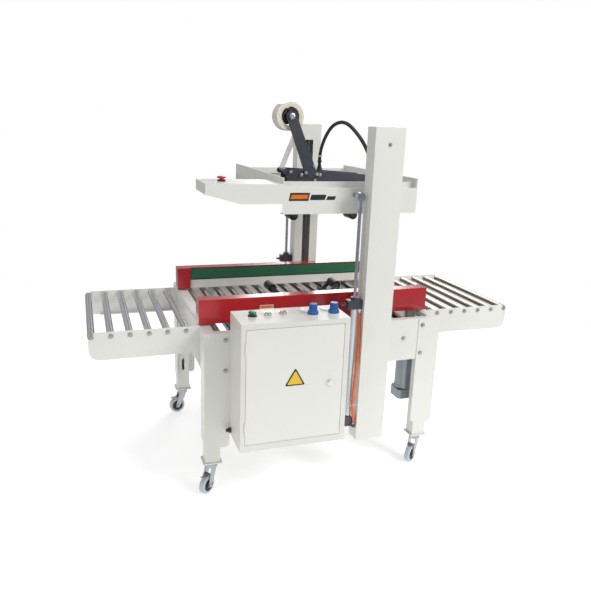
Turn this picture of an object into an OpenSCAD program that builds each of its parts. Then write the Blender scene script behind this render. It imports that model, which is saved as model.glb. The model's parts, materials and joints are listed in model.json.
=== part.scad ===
// Side-belt carton sealer: two tape heads, adjustable guides, roller tables.
// Millimetres. X runs along the conveyor, Y across it, Z up from the floor.

/* [Body] */
// Height of the roller axes above the floor
bed_h = 660; // [600:5:760]
// Length of the body along the conveyor
body_l = 1010; // [960:10:1060]
// Width of the body over the legs
body_w = 805; // [780:5:900]
// Height of the folded body side plates
side_h = 180; // [160:5:200]
// Thickness of the folded sheet
sheet = 3; // [2:0.5:4]

/* [Legs] */
// Width of a leg channel
leg_w = 100; // [90:5:120]
// Depth of a leg channel
leg_d = 78; // [60:2:80]
// Height of the leg channel's lower end above the floor
leg_end = 198; // [180:2:240]
// Width of the square leg insert
insert_w = 60; // [50:5:70]
// Height of the foot plate's underside above the floor
foot_h = 128; // [126:1:150]

/* [Roller tables] */
// Width of a roller table over its side plates
table_w = 595; // [500:5:640]
// Distance between table rollers
roller_pitch = 70; // [60:1:80]
// Diameter of every conveyor roller
roller_d = 28; // [24:1:34]
// Height of the table side plates
table_side_h = 109; // [90:1:130]

/* [Columns] */
// Height of the column tops above the floor
column_top = 1446; // [1400:2:1600]
// Width of a column
column_w = 122; // [110:2:140]
// Depth of a column
column_d = 70; // [66:1:90]
// Position of the columns along the conveyor
column_x = 175; // [165:1:185]
// Width of the slot in a column
slot_w = 40; // [36:1:50]
// Diameter of the lift guide rods
rod_d = 16; // [12:1:18]

/* [Head carriage] */
// Height of the carriage's lower edge above the floor
head_h = 1118; // [1060:1:1140]
// Length of the carriage frame
carriage_l = 560; // [540:5:620]
// Width of the carriage frame over its side beams
carriage_w = 750; // [740:2:760]
// Height of the carriage side beams
beam_h = 98; // [90:1:120]

/* [Tape] */
// Outside diameter of the tape roll
tape_d = 118; // [90:1:150]
// Width of the tape
tape_w = 72; // [48:1:72]
// Inside diameter of the tape core
core_d = 76; // [70:1:80]
// Diameter of the wipe-down rollers
wipe_d = 38; // [30:1:42]

/* [Side guides] */
// Gap between the two side belts
guide_gap = 494; // [440:1:500]
// Length of a side guide
guide_l = 995; // [960:5:1000]
// Height of a side guide
guide_h = 98; // [90:1:120]
// Width of the belt strip
belt_h = 48; // [40:1:60]
// Diameter of a drive motor
motor_d = 80; // [70:1:84]

/* [Control box] */
// Width of the control box
box_w = 418; // [380:2:440]
// Height of the control box
box_h = 500; // [440:5:540]
// Depth of the control box
box_d = 168; // [140:2:200]

/* [Casters] */
// Diameter of a caster wheel
wheel_d = 75; // [65:1:80]
// Width of a caster wheel
wheel_w = 24; // [20:1:28]
// Distance from the swivel axis back to the wheel axis
trail = 31; // [24:1:36]

/* [Hidden] */
$fn = 48;
fit = 0.05;
gap = 0.3;

cream = "#ECE9DE";
red = "#B0151C";
green = "#12603C";
black = "#22262C";
steel = "#B9BCC0";

row_n = 6;
half_l = body_l / 2;
side_y = body_w / 2 - sheet;
side_top = bed_h + 16;
side_z = side_top - side_h;
roll_r = roller_d / 2;
bed_pitch = 66;
head_x = 18;
bed_left = floor((half_l + head_x - 61) / bed_pitch + 0.001);
bed_right = floor((half_l - head_x - 157) / bed_pitch + 0.001);
bed_n = bed_left + bed_right + 1;
bed_x0 = head_x - bed_left * bed_pitch;
rail_y = tape_w / 2 + 22;
rail_t = 5;
tie_x = [head_x - 3.5 * bed_pitch, head_x + 3.5 * bed_pitch];

table_y = table_w / 2;
table_x = half_l - sheet;
first_x = half_l + 50;
table_end = first_x + (row_n - 1) * roller_pitch + 12;
table_top = bed_h + 17;
table_z = table_top - table_side_h;
axle_r = 6;

insert_d = 55;
leg_round = 12;
insert_top = side_z - 16;
foot_t = 5;
left_insert_x = -half_l + sheet;
right_insert_x = half_l - leg_w + 17;
insert_y = side_y;

column_z = leg_end - 10;
column_y = side_y + column_d / 2;
rod_y = column_y + 4;
rod_gap = 12;
rod_r = rod_d / 2;
rod_z = bed_h + 30;
piston_x = column_x - column_w / 2 - 30;
piston_y = rod_y;
piston_r = 6.5;
barrel_r = 12;
barrel_z = [bed_h - 372, bed_h + 92];
eye_z = head_h + 72;

car_x = [column_x - 98 - carriage_l / 2, column_x - 98 + carriage_l / 2];
car_y = carriage_w / 2;
car_top = head_h + beam_h;
car_ridge = car_top + 22;
bar_z = [head_h + 47, head_h + 87];
panel_x = car_x[0] - 291;
panel_y = [-car_y, -car_y + 190];
panel_top = car_top + 14;

head_in = tape_w / 2 + 9;
head_out = head_in + sheet;
arm_in = tape_w / 2 + 2;
arm_len = [78, 75];
up_front = [35, head_h + 17];
up_rear = [160, head_h + 17];
low_front = [-53, bed_h + 5];
low_rear = [97, bed_h + 5];
arm_turn = 50;
reel = [-72, head_h + 357];
reel_foot = [19, head_h + 134];
tip = [-88, head_h + 138];
tip_r = 7;
hub_r = 10;
tape_r = tape_d / 2;

belt_y = guide_gap / 2;
guide_in = belt_y + 3;
guide_out = belt_y + 53;
block_in = belt_y - 6;
block_l = 60;
guide_x = [-half_l - 2, -half_l - 2 + guide_l];
guide_z = bed_h + 22;
guide_top = guide_z + guide_h;
belt_z = guide_top - 5 - belt_h;
pulley_r = 20;
pulley_y = belt_y + 23;
drive_x = guide_x[1] - 58;
idler_x = guide_x[0] + 37;
post_x = [bed_x0 + 1.5 * bed_pitch, bed_x0 + (bed_n - 1.5) * bed_pitch];
cross_z = bed_h - 70;
cross_r = 10;
motor_z = [bed_h - 390, bed_h - 348, bed_h - 140, bed_h - 60];
motor_w = motor_d + 6;

box_x = [-half_l + leg_w, -half_l + leg_w + box_w];
box_z = [bed_h - 400, bed_h - 400 + box_h];
box_y = side_y + box_d;
wall = 2;
door_x = [box_x[0] + 19, box_x[1] - 22];
door_z = [box_z[0] + 28, box_z[1] - 22];
seam = 1.8;
hinge_r = 3;
hinge_l = 40;
hinge_z = [door_z[0] + 50, door_z[1] - 90];
bezel_r = [17, 14, 14];
bezel_h = [6, 11, 11];
key_y = -(side_y + box_d * 0.45);
knob_y = -(side_y + box_d * 0.63);
key_r = 11;
stem_r = 9;
key_x = [box_x[0] + 65, box_x[0] + 125, box_x[0] + 183];
knob_x = [box_x[0] + 291, box_x[0] + 375];

wheel_r = wheel_d / 2;
plate_t = 4;
shift_y = (box_d - column_d + 9 - 6.5) / 2;
caster_turn = [222, 215, 190, 232];
caster_at = [
    [left_insert_x + insert_w / 2, -insert_y + insert_d / 2],
    [right_insert_x + insert_w / 2, -insert_y + insert_d / 2],
    [left_insert_x + insert_w / 2, insert_y - insert_d / 2],
    [right_insert_x + insert_w / 2, insert_y - insert_d / 2]
];

conduit_r = 7;
conduit_path = [
    [80, 0, head_h + 146.1],
    [80, 0, head_h + 196],
    [84, -10, head_h + 240],
    [90, -40, head_h + 286],
    [97, -90, head_h + 324],
    [104, -160, head_h + 340],
    [110, -230, head_h + 330],
    [118, -300, head_h + 296],
    [126, -345, head_h + 262],
    [134, -374, head_h + 226],
    [140, -388, head_h + 192],
    [140, -388, head_h + 172]
];
hose_r = 6;
hose_path = [
    [piston_x + 20, -piston_y - 9, barrel_z[1] - 10.2],
    [piston_x + 20, -piston_y - 9, barrel_z[1] - 28],
    [piston_x + 20, -piston_y - 12, barrel_z[1] - 62],
    [piston_x + 21, -piston_y - 16, barrel_z[1] - 120],
    [piston_x + 18, -piston_y - 20, barrel_z[1] - 210],
    [piston_x + 13, -piston_y - 22, barrel_z[1] - 300],
    [piston_x + 9, -piston_y - 22, barrel_z[0] + 84],
    [piston_x + 10, -piston_y - 22, barrel_z[0] + 44],
    [piston_x + 17, -piston_y - 20, barrel_z[0] + 8],
    [piston_x + 21, -piston_y - 17, barrel_z[0] - 16],
    [piston_x + 21, -piston_y - 17, barrel_z[0] - 29.8]
];

// ---- helpers ----

module block(x, y, z) {
    translate([x[0], y[0], z[0]])
        cube([x[1] - x[0], y[1] - y[0], z[1] - z[0]]);
}

module bar_y(at, r, y) {
    translate([at[0], y[0], at[1]])
        rotate([-90, 0, 0])
            cylinder(r = r, h = y[1] - y[0]);
}

module bar_x(at, r, x) {
    translate([x[0], at[0], at[1]])
        rotate([0, 90, 0])
            cylinder(r = r, h = x[1] - x[0]);
}

module bar_z(at, r, z) {
    translate([at[0], at[1], z[0]])
        cylinder(r = r, h = z[1] - z[0]);
}

module slab_y(y) {
    translate([0, y[1], 0])
        rotate([90, 0, 0])
            linear_extrude(y[1] - y[0])
                children();
}

module both_y() {
    children();
    mirror([0, 1, 0])
        children();
}

module both_x() {
    children();
    mirror([1, 0, 0])
        children();
}

module ring_z(at, r_out, r_in, z) {
    difference() {
        bar_z(at, r_out, z);
        bar_z(at, r_in, [z[0] - 1, z[1] + 1]);
    }
}

module stadium(x, y, r) {
    translate([x[0], y])
        circle(r = r);
    translate([x[1], y])
        circle(r = r);
    translate([x[0], y - r])
        square([x[1] - x[0], 2 * r]);
}

module centred() {
    translate([0, shift_y, 0])
        children();
}

module bolt_y(at, y, r) {
    bar_y(at, r + 2, [-y - 1.5, -y]);
    bar_y(at, r, [-y - 5, -y]);
    bar_y(at, r - 3, [-y - 6.5, -y]);
}

// ---- sweeps for flexible runs ----

function cat(a, b, c, d, t) = 0.5 * (2 * b + (c - a) * t + (2 * a - 5 * b + 4 * c - d) * t * t
    + (3 * b - a - 3 * c + d) * t * t * t);
function pick(p, i) = p[max(0, min(len(p) - 1, i))];
function smooth(p, n) = [
    for (i = [0 : len(p) - 2]) for (k = [0 : n - 1])
        cat(pick(p, i - 1), p[i], p[i + 1], pick(p, i + 2), k / n),
    p[len(p) - 1]
];
function unit(v) = v / norm(v);
function heading(p, i) = unit(pick(p, i + 1) - pick(p, i - 1));
function across(t) = unit(cross(t, [0.96, 0.05, 0.28]));
function ring(c, t, r, n) = [
    for (k = [0 : n - 1])
        c + r * (cos(360 * k / n) * across(t) + sin(360 * k / n) * cross(t, across(t)))
];

module sweep(p, r, n) {
    rings = [for (i = [0 : len(p) - 1]) each ring(p[i], heading(p, i), r, n)];
    last = (len(p) - 1) * n;
    sides = [
        for (i = [0 : len(p) - 2]) for (k = [0 : n - 1])
            [i * n + k, (i + 1) * n + k, (i + 1) * n + (k + 1) % n, i * n + (k + 1) % n]
    ];
    ends = [[for (k = [0 : n - 1]) k], [for (k = [n - 1 : -1 : 0]) last + k]];
    polyhedron(points = rings, faces = concat(sides, ends));
}

// ---- body ----

module body_side() {
    block([-table_x, table_x], [-side_y, -side_y + sheet], [side_z, side_top]);
    block([-table_x, table_x], [-side_y, -side_y + 28], [side_top - sheet, side_top]);
    block([-table_x, table_x], [-side_y, -side_y + 28], [side_z, side_z + sheet]);
}

module end_beam() {
    reach = side_y - sheet;
    block([table_x - sheet, table_x], [-reach, reach], [side_z + 4, side_top]);
    block([table_x - 40, table_x], [-reach, reach], [side_top - sheet, side_top]);
    block([table_x - 40, table_x - 37], [-reach, reach], [side_top - 24, side_top]);
}

module bed_rail() {
    rail = [tie_x[0] - 2, tie_x[1] + 2];
    block(rail, [-rail_y - rail_t, -rail_y], [bed_h - 48, bed_h + 12]);
}

module body_frame() {
    color(cream) {
        both_y() {
            body_side();
            bed_rail();
        }
        both_x()
            end_beam();
        for (x = tie_x)
            block([x - 2.5, x + 2.5], [-side_y + sheet, side_y - sheet], [bed_h - 60, bed_h - 20]);
    }
}

// ---- roller tables ----

module table_profile() {
    corner = 40;
    translate([table_x, table_z])
        square([table_end - corner - table_x, table_side_h]);
    translate([table_x, table_z + corner])
        square([table_end - table_x, table_side_h - corner - 30]);
    translate([table_end - corner, table_z + corner])
        circle(r = corner);
    polygon([[table_x, bed_h - 20], [table_end, bed_h - 20], [table_end - 22, table_top],
        [table_x, table_top]]);
    polygon([[table_x, table_z + 1], [table_x + 28, table_z + 1], [table_x, table_z - 58]]);
}

module table_side() {
    difference() {
        slab_y([-table_y, -table_y + sheet])
            table_profile();
        for (i = [0 : row_n - 1])
            bar_y([first_x + i * roller_pitch, bed_h], axle_r, [-table_y - 1, -table_y + sheet + 1]);
    }
    block([table_x, table_end - 60], [-table_y, -table_y + 20], [table_z, table_z + sheet]);
}

module table_frames() {
    inner = table_y - sheet;
    color(cream)
        both_x() {
            both_y()
                table_side();
            block([table_x, table_x + sheet], [-inner, inner], [table_z, bed_h + 12]);
            block([table_x, table_x + 24], [-inner, inner], [table_z, table_z + sheet]);
        }
}

module table_roller(side, i) {
    x = side * (first_x + i * roller_pitch);
    reach = table_y - sheet - 3.5;
    color(steel)
        difference() {
            union() {
                difference() {
                    bar_y([x, bed_h], roll_r, [-reach, reach]);
                    bar_y([x, bed_h], roll_r - 1.5, [-reach - 1, reach + 1]);
                }
                both_y() {
                    bar_y([x, bed_h], roll_r - 1, [-reach + 1, -reach + 13]);
                    bar_y([x, bed_h], axle_r + 2, [-reach - 2, -reach + 2]);
                }
            }
            bar_y([x, bed_h], axle_r + fit, [-reach - 3, reach + 3]);
        }
}

// ---- bed rollers ----

function bed_x(i) = bed_x0 + i * bed_pitch;
function split(x) = x > tie_x[0] && x < tie_x[1];

module bed_roller(x, y) {
    bar_y([x, bed_h], roll_r, [y[0] + 8, y[1] - 8]);
    bar_y([x, bed_h], roll_r - 3, [y[0] + 6, y[1] - 6]);
    bar_y([x, bed_h], 5, y);
}

module bed_rollers() {
    reach = side_y - sheet;
    trim = 25;
    color(steel)
        for (i = [0 : bed_n - 1])
            if (split(bed_x(i)))
                both_y() {
                    bed_roller(bed_x(i), [-reach + trim, -rail_y - rail_t]);
                    bar_y([bed_x(i), bed_h], 5, [-reach, -reach + trim + 2]);
                }
            else {
                bed_roller(bed_x(i), [-reach + trim, reach - trim]);
                both_y()
                    bar_y([bed_x(i), bed_h], 5, [-reach, -reach + trim + 2]);
            }
}

// ---- legs ----

module leg_web() {
    r = 18;
    translate([half_l - leg_w, leg_end + r])
        square([leg_w, side_top - leg_end - r]);
    translate([half_l - leg_w + r, leg_end])
        square([leg_w - r - leg_round, r + 1]);
    translate([half_l - leg_round - 1, leg_end + leg_round])
        square([leg_round + 1, r]);
    translate([half_l - leg_w + r, leg_end + r])
        circle(r = r);
    translate([half_l - leg_round, leg_end + leg_round])
        circle(r = leg_round);
}

module leg_channel() {
    y0 = -body_w / 2;
    slab_y([y0, y0 + sheet])
        leg_web();
    block([half_l - sheet, half_l], [y0, y0 + leg_d], [leg_end + leg_round, side_top]);
}

module leg_insert(x) {
    y = [-insert_y, -insert_y + insert_d];
    difference() {
        block([x, x + insert_w], y, [foot_h, insert_top]);
        block([x + sheet, x + insert_w - sheet], [y[0] + sheet, y[1] - sheet],
            [foot_h + foot_t, insert_top + 1]);
        for (z = [leg_end + 40, leg_end + 130])
            translate([x + insert_w / 2, y[1] + 1, z])
                rotate([90, 0, 0])
                    linear_extrude(sheet + 2)
                        rotate([0, 0, 90])
                            stadium([0, 50], 0, 6);
    }
    block([x - 8, x + insert_w + 8], [y[0] - 6, y[1] + 8], [foot_h, foot_h + foot_t]);
}

module legs() {
    color(cream)
        both_y() {
            both_x()
                leg_channel();
            leg_insert(left_insert_x);
            leg_insert(right_insert_x);
        }
}

// ---- columns and lift ----

module column() {
    x = [column_x - column_w / 2, column_x + column_w / 2];
    y = [-side_y - column_d, -side_y];
    difference() {
        block(x, y, [column_z, column_top]);
        block([x[0] + sheet, x[1] - sheet], [y[0] + sheet, y[1] - sheet],
            [column_z - 1, rod_z - 5]);
        block([x[0] + sheet, x[1] - sheet], [y[0] + sheet, y[1] - sheet],
            [rod_z, column_top - sheet]);
        block([column_x - slot_w / 2, column_x + slot_w / 2], [y[1] - sheet - 1, y[1] + 1],
            [rod_z + 12, column_top - 75]);
    }
}

module columns() {
    end = conduit_path[len(conduit_path) - 1];
    color(cream) {
        both_y()
            column();
        block([end[0] - 10, end[0] + 10], [-side_y, end[1] + 9], [end[2] - 14.8, end[2] - 0.8]);
    }
}

module cylinder_unit() {
    edge = column_x - column_w / 2;
    at = [piston_x, -piston_y];
    difference() {
        union() {
            bar_z(at, barrel_r, [barrel_z[0] - 2, barrel_z[1] + 2]);
            block([piston_x - 32, edge], [-piston_y - 15, -piston_y + 15],
                [barrel_z[1], barrel_z[1] + 36]);
            bar_z(at, 15, [barrel_z[1] + 35, barrel_z[1] + 47]);
        }
        bar_z(at, piston_r + fit, [barrel_z[1] - 3, barrel_z[1] + 48]);
        bar_z(at, barrel_r - 2, [barrel_z[0] + 6, barrel_z[1] - 2]);
    }
    block([piston_x - 13, piston_x + 13], [-piston_y - 13, -piston_y + 13],
        [barrel_z[0] - 42, barrel_z[0]]);
    block([piston_x, edge], [-piston_y - 8, -piston_y + 8], [barrel_z[0] - 34, barrel_z[0] - 14]);
    block([piston_x + 8, piston_x + 21], [-piston_y - 20, -piston_y - 5],
        [barrel_z[0] - 40, barrel_z[0] - 31]);
    bar_z([piston_x + 21, -piston_y - 17], 8, [barrel_z[0] - 44, barrel_z[0] - 30]);
    bar_z([piston_x + 20, -piston_y - 9], 8, [barrel_z[1] - 10, barrel_z[1] + 1]);
    bar_x([-piston_y, barrel_z[1] + 16], 6, [piston_x - 44, piston_x - 30]);
    bar_x([-piston_y, barrel_z[1] + 16], 3.5, [piston_x - 54, piston_x - 42]);
    bar_x([-piston_y, barrel_z[0] - 28], 5, [piston_x - 24, piston_x - 12]);
}

module cylinders() {
    color(black)
        both_y()
            cylinder_unit();
}

module air_hose() {
    color("#E0501C")
        sweep(smooth(hose_path, 4), hose_r, 10);
}

module caster_mount(at) {
    z = foot_h - plate_t;
    block([at[0] - 30, at[0] + 30], [at[1] - 26, at[1] + 26], [z, foot_h]);
    bar_z(at, 23, [z - 7, z]);
    bar_z(at, 6, [z - 24, z]);
    bar_z(at, 9, [z - 26, z - 15.8]);
}

module frame_hardware() {
    color(steel) {
        both_y() {
            for (s = [-rod_gap, rod_gap])
                bar_z([column_x + s, -rod_y], rod_r, [rod_z, column_top - sheet]);
            for (s = [-1, 1]) {
                for (z = [side_top - 29, side_top - 153])
                    bolt_y([s * (half_l - 82), z], body_w / 2, 7.5);
                for (i = [0 : row_n - 1])
                    bolt_y([s * (first_x + i * roller_pitch), bed_h], table_y, 7);
            }
            bolt_y([half_l - 167, side_top - 82], side_y, 7);
            bolt_y([column_x, column_top - 62], side_y + column_d, 5);
        }
        for (s = [-1, 1])
            for (i = [0 : row_n - 1])
                bar_y([s * (first_x + i * roller_pitch), bed_h], axle_r, [-table_y, table_y]);
        for (x = post_x)
            bar_y([x, cross_z], cross_r, [-side_y + sheet, side_y - sheet]);
        for (at = caster_at)
            caster_mount(at);
    }
}

// ---- carriage ----

module side_beam() {
    y = -car_y;
    block(car_x, [y, y + sheet], [head_h, car_top]);
    block(car_x, [y, y + 30], [car_top - sheet, car_top]);
    block(car_x, [y + 27, y + 30], [car_top - sheet, car_ridge]);
    block(car_x, [y, y + 30], [head_h, head_h + sheet]);
    for (x = [car_x[0] + 13, car_x[1] - 53])
        block([x, x + 40], [y + sheet, 0.5], bar_z);
    block([car_x[0] + 50, car_x[1] - 50], [-head_out - 7, -head_out], bar_z);
}

module slider() {
    z = [head_h + 12, head_h + 82];
    difference() {
        union() {
            block([column_x - 15, column_x + 15], [-rod_y + 8, -car_y], z);
            block([column_x - 30, column_x + 30], [-rod_y - 16, -rod_y + 16], z);
        }
        for (s = [-rod_gap, rod_gap])
            bar_z([column_x + s, -rod_y], rod_r + fit, [z[0] - 1, z[1] + 1]);
    }
}

module panel_profile(t) {
    polygon([[panel_x + t, panel_top - t], [car_x[0] + t, panel_top - t],
        [car_x[0] + t, panel_top - 73 + t], [panel_x + 132 + t / 4, panel_top - 73 + t],
        [panel_x + t, panel_top - 39 + t / 2]]);
}

module switch_panel() {
    at = [panel_x + 78, -car_y + 90];
    difference() {
        slab_y(panel_y)
            panel_profile(0);
        slab_y([panel_y[0] + wall, panel_y[1] - wall])
            panel_profile(wall);
        bar_z(at, 8 + fit, [panel_top - 10, panel_top + 1]);
    }
    ring_z(at, 15, 8 + fit, [panel_top, panel_top + 8]);
}

module cross_plate(x, s) {
    block([min(x, x + s * sheet), max(x, x + s * sheet)], [-car_y, car_y],
        [car_top - 7, car_top + 37]);
    block([min(x, x + s * 18), max(x, x + s * 18)], [-car_y, car_y], [car_top - 7, car_top - 4]);
}

module carriage_frame() {
    color(cream) {
        both_y() {
            side_beam();
            slider();
        }
        cross_plate(car_x[0], 1);
        cross_plate(car_x[1], -1);
        switch_panel();
    }
}

module piston_unit() {
    at = [piston_x, -piston_y];
    bar_z(at, piston_r, [barrel_z[1] - 112, eye_z - 6]);
    bar_z(at, 10, [eye_z - 62, eye_z - 10]);
    bar_y([piston_x, eye_z], 17, [-piston_y - 8, -piston_y + 8]);
    bar_y([piston_x, eye_z], 6, [-piston_y - 16, -car_y]);
    bar_y([piston_x, eye_z], 10, [-piston_y - 13, -piston_y - 8]);
    bar_y([piston_x, eye_z], 10, [-car_y - 12, -car_y]);
}

module piston_rods() {
    color(steel)
        both_y()
            piston_unit();
}

// ---- tape heads ----

module up_profile() {
    polygon([[-82, head_h + 144], [40, head_h + 138], [283, head_h + 123], [283, head_h + 62],
        [262, head_h + 2], [210, head_h - 20], [-20, head_h - 20], [-82, head_h + 30]]);
    translate([tip[0], tip[1] - 6])
        circle(r = 12);
}

module reel_arm() {
    v = [reel[0] - reel_foot[0], reel[1] - reel_foot[1]];
    n = [v[1], -v[0]] / norm(v);
    polygon([reel_foot + 26 * n, reel + 22 * n, reel - 22 * n, reel_foot - 26 * n]);
    translate(reel)
        circle(r = 22);
    translate(reel_foot)
        circle(r = 26);
}

module upper_head() {
    pins = [[-60, head_h + 100], [262, head_h + 100], [100, head_h + 70]];
    color(black) {
        difference() {
            both_y()
                slab_y([-head_out, -head_in])
                    up_profile();
            for (at = [up_front, up_rear])
                bar_y(at, 6 + fit, [-head_out - 1, head_out + 1]);
        }
        for (at = pins)
            bar_y(at, 6, [-head_in, head_in]);
        bar_y(tip, tip_r, [-head_in, head_in]);
        slab_y([-head_out - 6, -head_out])
            reel_arm();
        bar_y(reel, hub_r, [-head_out - 10, tape_w / 2 + 6]);
        for (at = [[-70, 132], [-22, 120], [48, 122], [62, 120], [40, 96], [-2, 128], [34, 158]])
            bar_y([at[0], head_h + at[1]], 5, [-head_out - 9, -head_out]);
        ring_z([conduit_path[0][0], 0], 12, 6, [head_h + 128, head_h + 146]);
        block([68, 92], [-head_in, head_in], [head_h + 118, head_h + 130]);
    }
}

module arm_profile(s, v) {
    stadium_at = [s * arm_len[0], v * arm_len[1]];
    n = [stadium_at[1], -stadium_at[0]] / norm(stadium_at);
    polygon([11 * n, stadium_at + 9 * n, stadium_at - 9 * n, -11 * n]);
    circle(r = 11);
    translate(stadium_at)
        circle(r = 9);
}

module wipe_arm(at, s, v) {
    end = [at[0] + s * arm_len[0], at[1] + v * arm_len[1]];
    color(black) {
        both_y()
            slab_y([-arm_in - 3, -arm_in])
                translate(at)
                    arm_profile(s, v);
        bar_y(at, 6, [-head_out - 3, head_out + 3]);
        bar_y(at, 9, [-arm_in, arm_in]);
        bar_y(end, 5, [-arm_in - 5, arm_in + 5]);
    }
}

module wipe_roller(at, s, v) {
    end = [at[0] + s * arm_len[0], at[1] + v * arm_len[1]];
    reach = arm_in - 1;
    color(black)
        difference() {
            bar_y(end, wipe_d / 2, [-reach, reach]);
            bar_y(end, 5 + fit, [-reach - 1, reach + 1]);
            bar_y(end, wipe_d / 2 - 5, [-reach - 1, -reach + 4]);
            bar_y(end, wipe_d / 2 - 5, [reach - 4, reach + 1]);
        }
}

module low_profile() {
    polygon([[-150, bed_h + 8], [200, bed_h + 8], [200, bed_h - 60], [170, bed_h - 110],
        [-110, bed_h - 110], [-150, bed_h - 60]]);
}

module lower_head() {
    color(black) {
        difference() {
            both_y()
                slab_y([-head_out, -head_in])
                    low_profile();
            for (at = [low_front, low_rear])
                bar_y(at, 6 + fit, [-head_out - 1, head_out + 1]);
        }
        for (x = [-135, 185])
            bar_y([x, bed_h - 32], 6, [-rail_y, rail_y]);
        bar_y([20, bed_h - 90], 6, [-head_in, head_in]);
    }
}

module reel_hub() {
    color(black)
        difference() {
            union() {
                translate([reel[0], -tape_w / 2 - 2, reel[1]])
                    rotate([-90, 0, 0])
                        cylinder(r = core_d / 2 - 0.4, h = tape_w - 4, $fn = 6);
                bar_y(reel, 16, [-head_out + 1, tape_w / 2 + 2]);
            }
            bar_y(reel, hub_r + fit, [-head_out - 20, tape_w]);
            for (a = [0 : 60 : 300])
                bar_y([reel[0] + 25 * cos(a), reel[1] + 25 * sin(a)], 5,
                    [-tape_w / 2 - 3, -tape_w / 2 + 8]);
        }
}

module tape_roll() {
    y = tape_w / 2;
    color("#E9DDBE")
        difference() {
            bar_y(reel, tape_r, [-y, y]);
            bar_y(reel, core_d / 2 - gap / 2, [-y - 1, y + 1]);
        }
}

module tape_web() {
    r = [tape_r + gap + 0.2, tip_r + gap + 0.2];
    v = reel - tip;
    turn = atan2(v[1], v[0]) - asin((r[0] + r[1]) / norm(v));
    foot = tip + r[1] * [-sin(turn), cos(turn)];
    run = sqrt(norm(v) * norm(v) - (r[0] + r[1]) * (r[0] + r[1]));
    color("#E8D8C8")
        slab_y([-tape_w / 2 + 1, tape_w / 2 - 1])
            translate(foot)
                rotate([0, 0, turn])
                    translate([0, -0.2])
                        square([run, 0.4]);
}

module conduit() {
    color(black)
        sweep(smooth(conduit_path, 5), conduit_r, 12);
}

// ---- side guides ----

module guide() {
    mid = [guide_x[0] + block_l, guide_x[1] - block_l];
    z = [guide_z, guide_top];
    color(red)
        difference() {
            union() {
                block(guide_x, [-guide_out, -guide_out + sheet], z);
                block(guide_x, [-guide_out, -guide_in], [guide_top - sheet, guide_top]);
                block(guide_x, [-guide_out, -guide_in], [guide_z, guide_z + sheet]);
                block(mid, [-guide_in - sheet, -guide_in], [guide_z, belt_z - 5]);
                for (x = [[guide_x[0], mid[0]], [mid[1], guide_x[1]]]) {
                    block(x, [-block_in - sheet, -block_in], z);
                    block(x, [-guide_in - 1, -block_in], [guide_top - sheet, guide_top]);
                    block(x, [-guide_in - 1, -block_in], [guide_z, guide_z + sheet]);
                }
                for (x = [guide_x[0], guide_x[1] - sheet])
                    block([x, x + sheet], [-guide_out, -block_in], z);
                for (x = post_x) {
                    block([x - 12, x + 12], [-pulley_y - 8, -pulley_y + 8],
                        [cross_z + 24, guide_z + 1]);
                    block([x - 25, x + 25], [-pulley_y - 25, -pulley_y + 25],
                        [cross_z - 25, cross_z + 25]);
                }
                bar_z([drive_x, -pulley_y], 24, [motor_z[3], guide_z + 1]);
                bar_z([idler_x, -pulley_y], pulley_r, [belt_z + 1, belt_z + belt_h - 1]);
                bar_z([idler_x, -pulley_y], 8, z);
            }
            bar_z([drive_x, -pulley_y], 12, [motor_z[3] - 1, guide_z + sheet + 1]);
            for (x = post_x)
                bar_y([x, cross_z], cross_r + fit, [-side_y, 0]);
        }
}

module belt() {
    color(green)
        translate([0, 0, belt_z])
            linear_extrude(belt_h)
                difference() {
                    stadium([idler_x, drive_x], -pulley_y, pulley_r + 3);
                    stadium([idler_x, drive_x], -pulley_y, pulley_r + gap);
                }
}

module motor_flange(z) {
    c = 12;
    h = motor_w / 2;
    translate([drive_x, -pulley_y, z[0]])
        linear_extrude(z[1] - z[0])
            polygon([[-h + c, -h], [h - c, -h], [h, -h + c], [h, h - c], [h - c, h],
                [-h + c, h], [-h, h - c], [-h, -h + c]]);
}

module motor() {
    at = [drive_x, -pulley_y];
    color(steel)
        difference() {
            union() {
                motor_flange([motor_z[0], motor_z[1]]);
                bar_z(at, motor_d / 2, [motor_z[1] - 1, motor_z[2] + 1]);
                bar_z(at, motor_d / 2 + 1.5, [motor_z[1] + 8, motor_z[1] + 16]);
                bar_z(at, motor_d / 2 + 1.5, [motor_z[2] - 40, motor_z[2] - 34]);
                motor_flange([motor_z[2], motor_z[3]]);
            }
            bar_z(at, 8 + fit, [motor_z[3] - 40, motor_z[3] + 1]);
        }
}

module drive_pulley() {
    at = [drive_x, -pulley_y];
    color(steel) {
        bar_z(at, pulley_r, [belt_z + 1, belt_z + belt_h - 1]);
        bar_z(at, 8, [motor_z[3] - 36, guide_top - sheet - 1]);
    }
}

// ---- control box ----

module door_surround() {
    y = -box_y;
    difference() {
        block(box_x, [y - 3, y + 1], box_z);
        block([door_x[0] - seam, door_x[1] + seam], [y - 4, y + 2],
            [door_z[0] - seam, door_z[1] + seam]);
        for (z = hinge_z)
            bar_z([door_x[0] - 2, y - 3], hinge_r + 1, [z - 1, z + hinge_l + 1]);
    }
}

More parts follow.
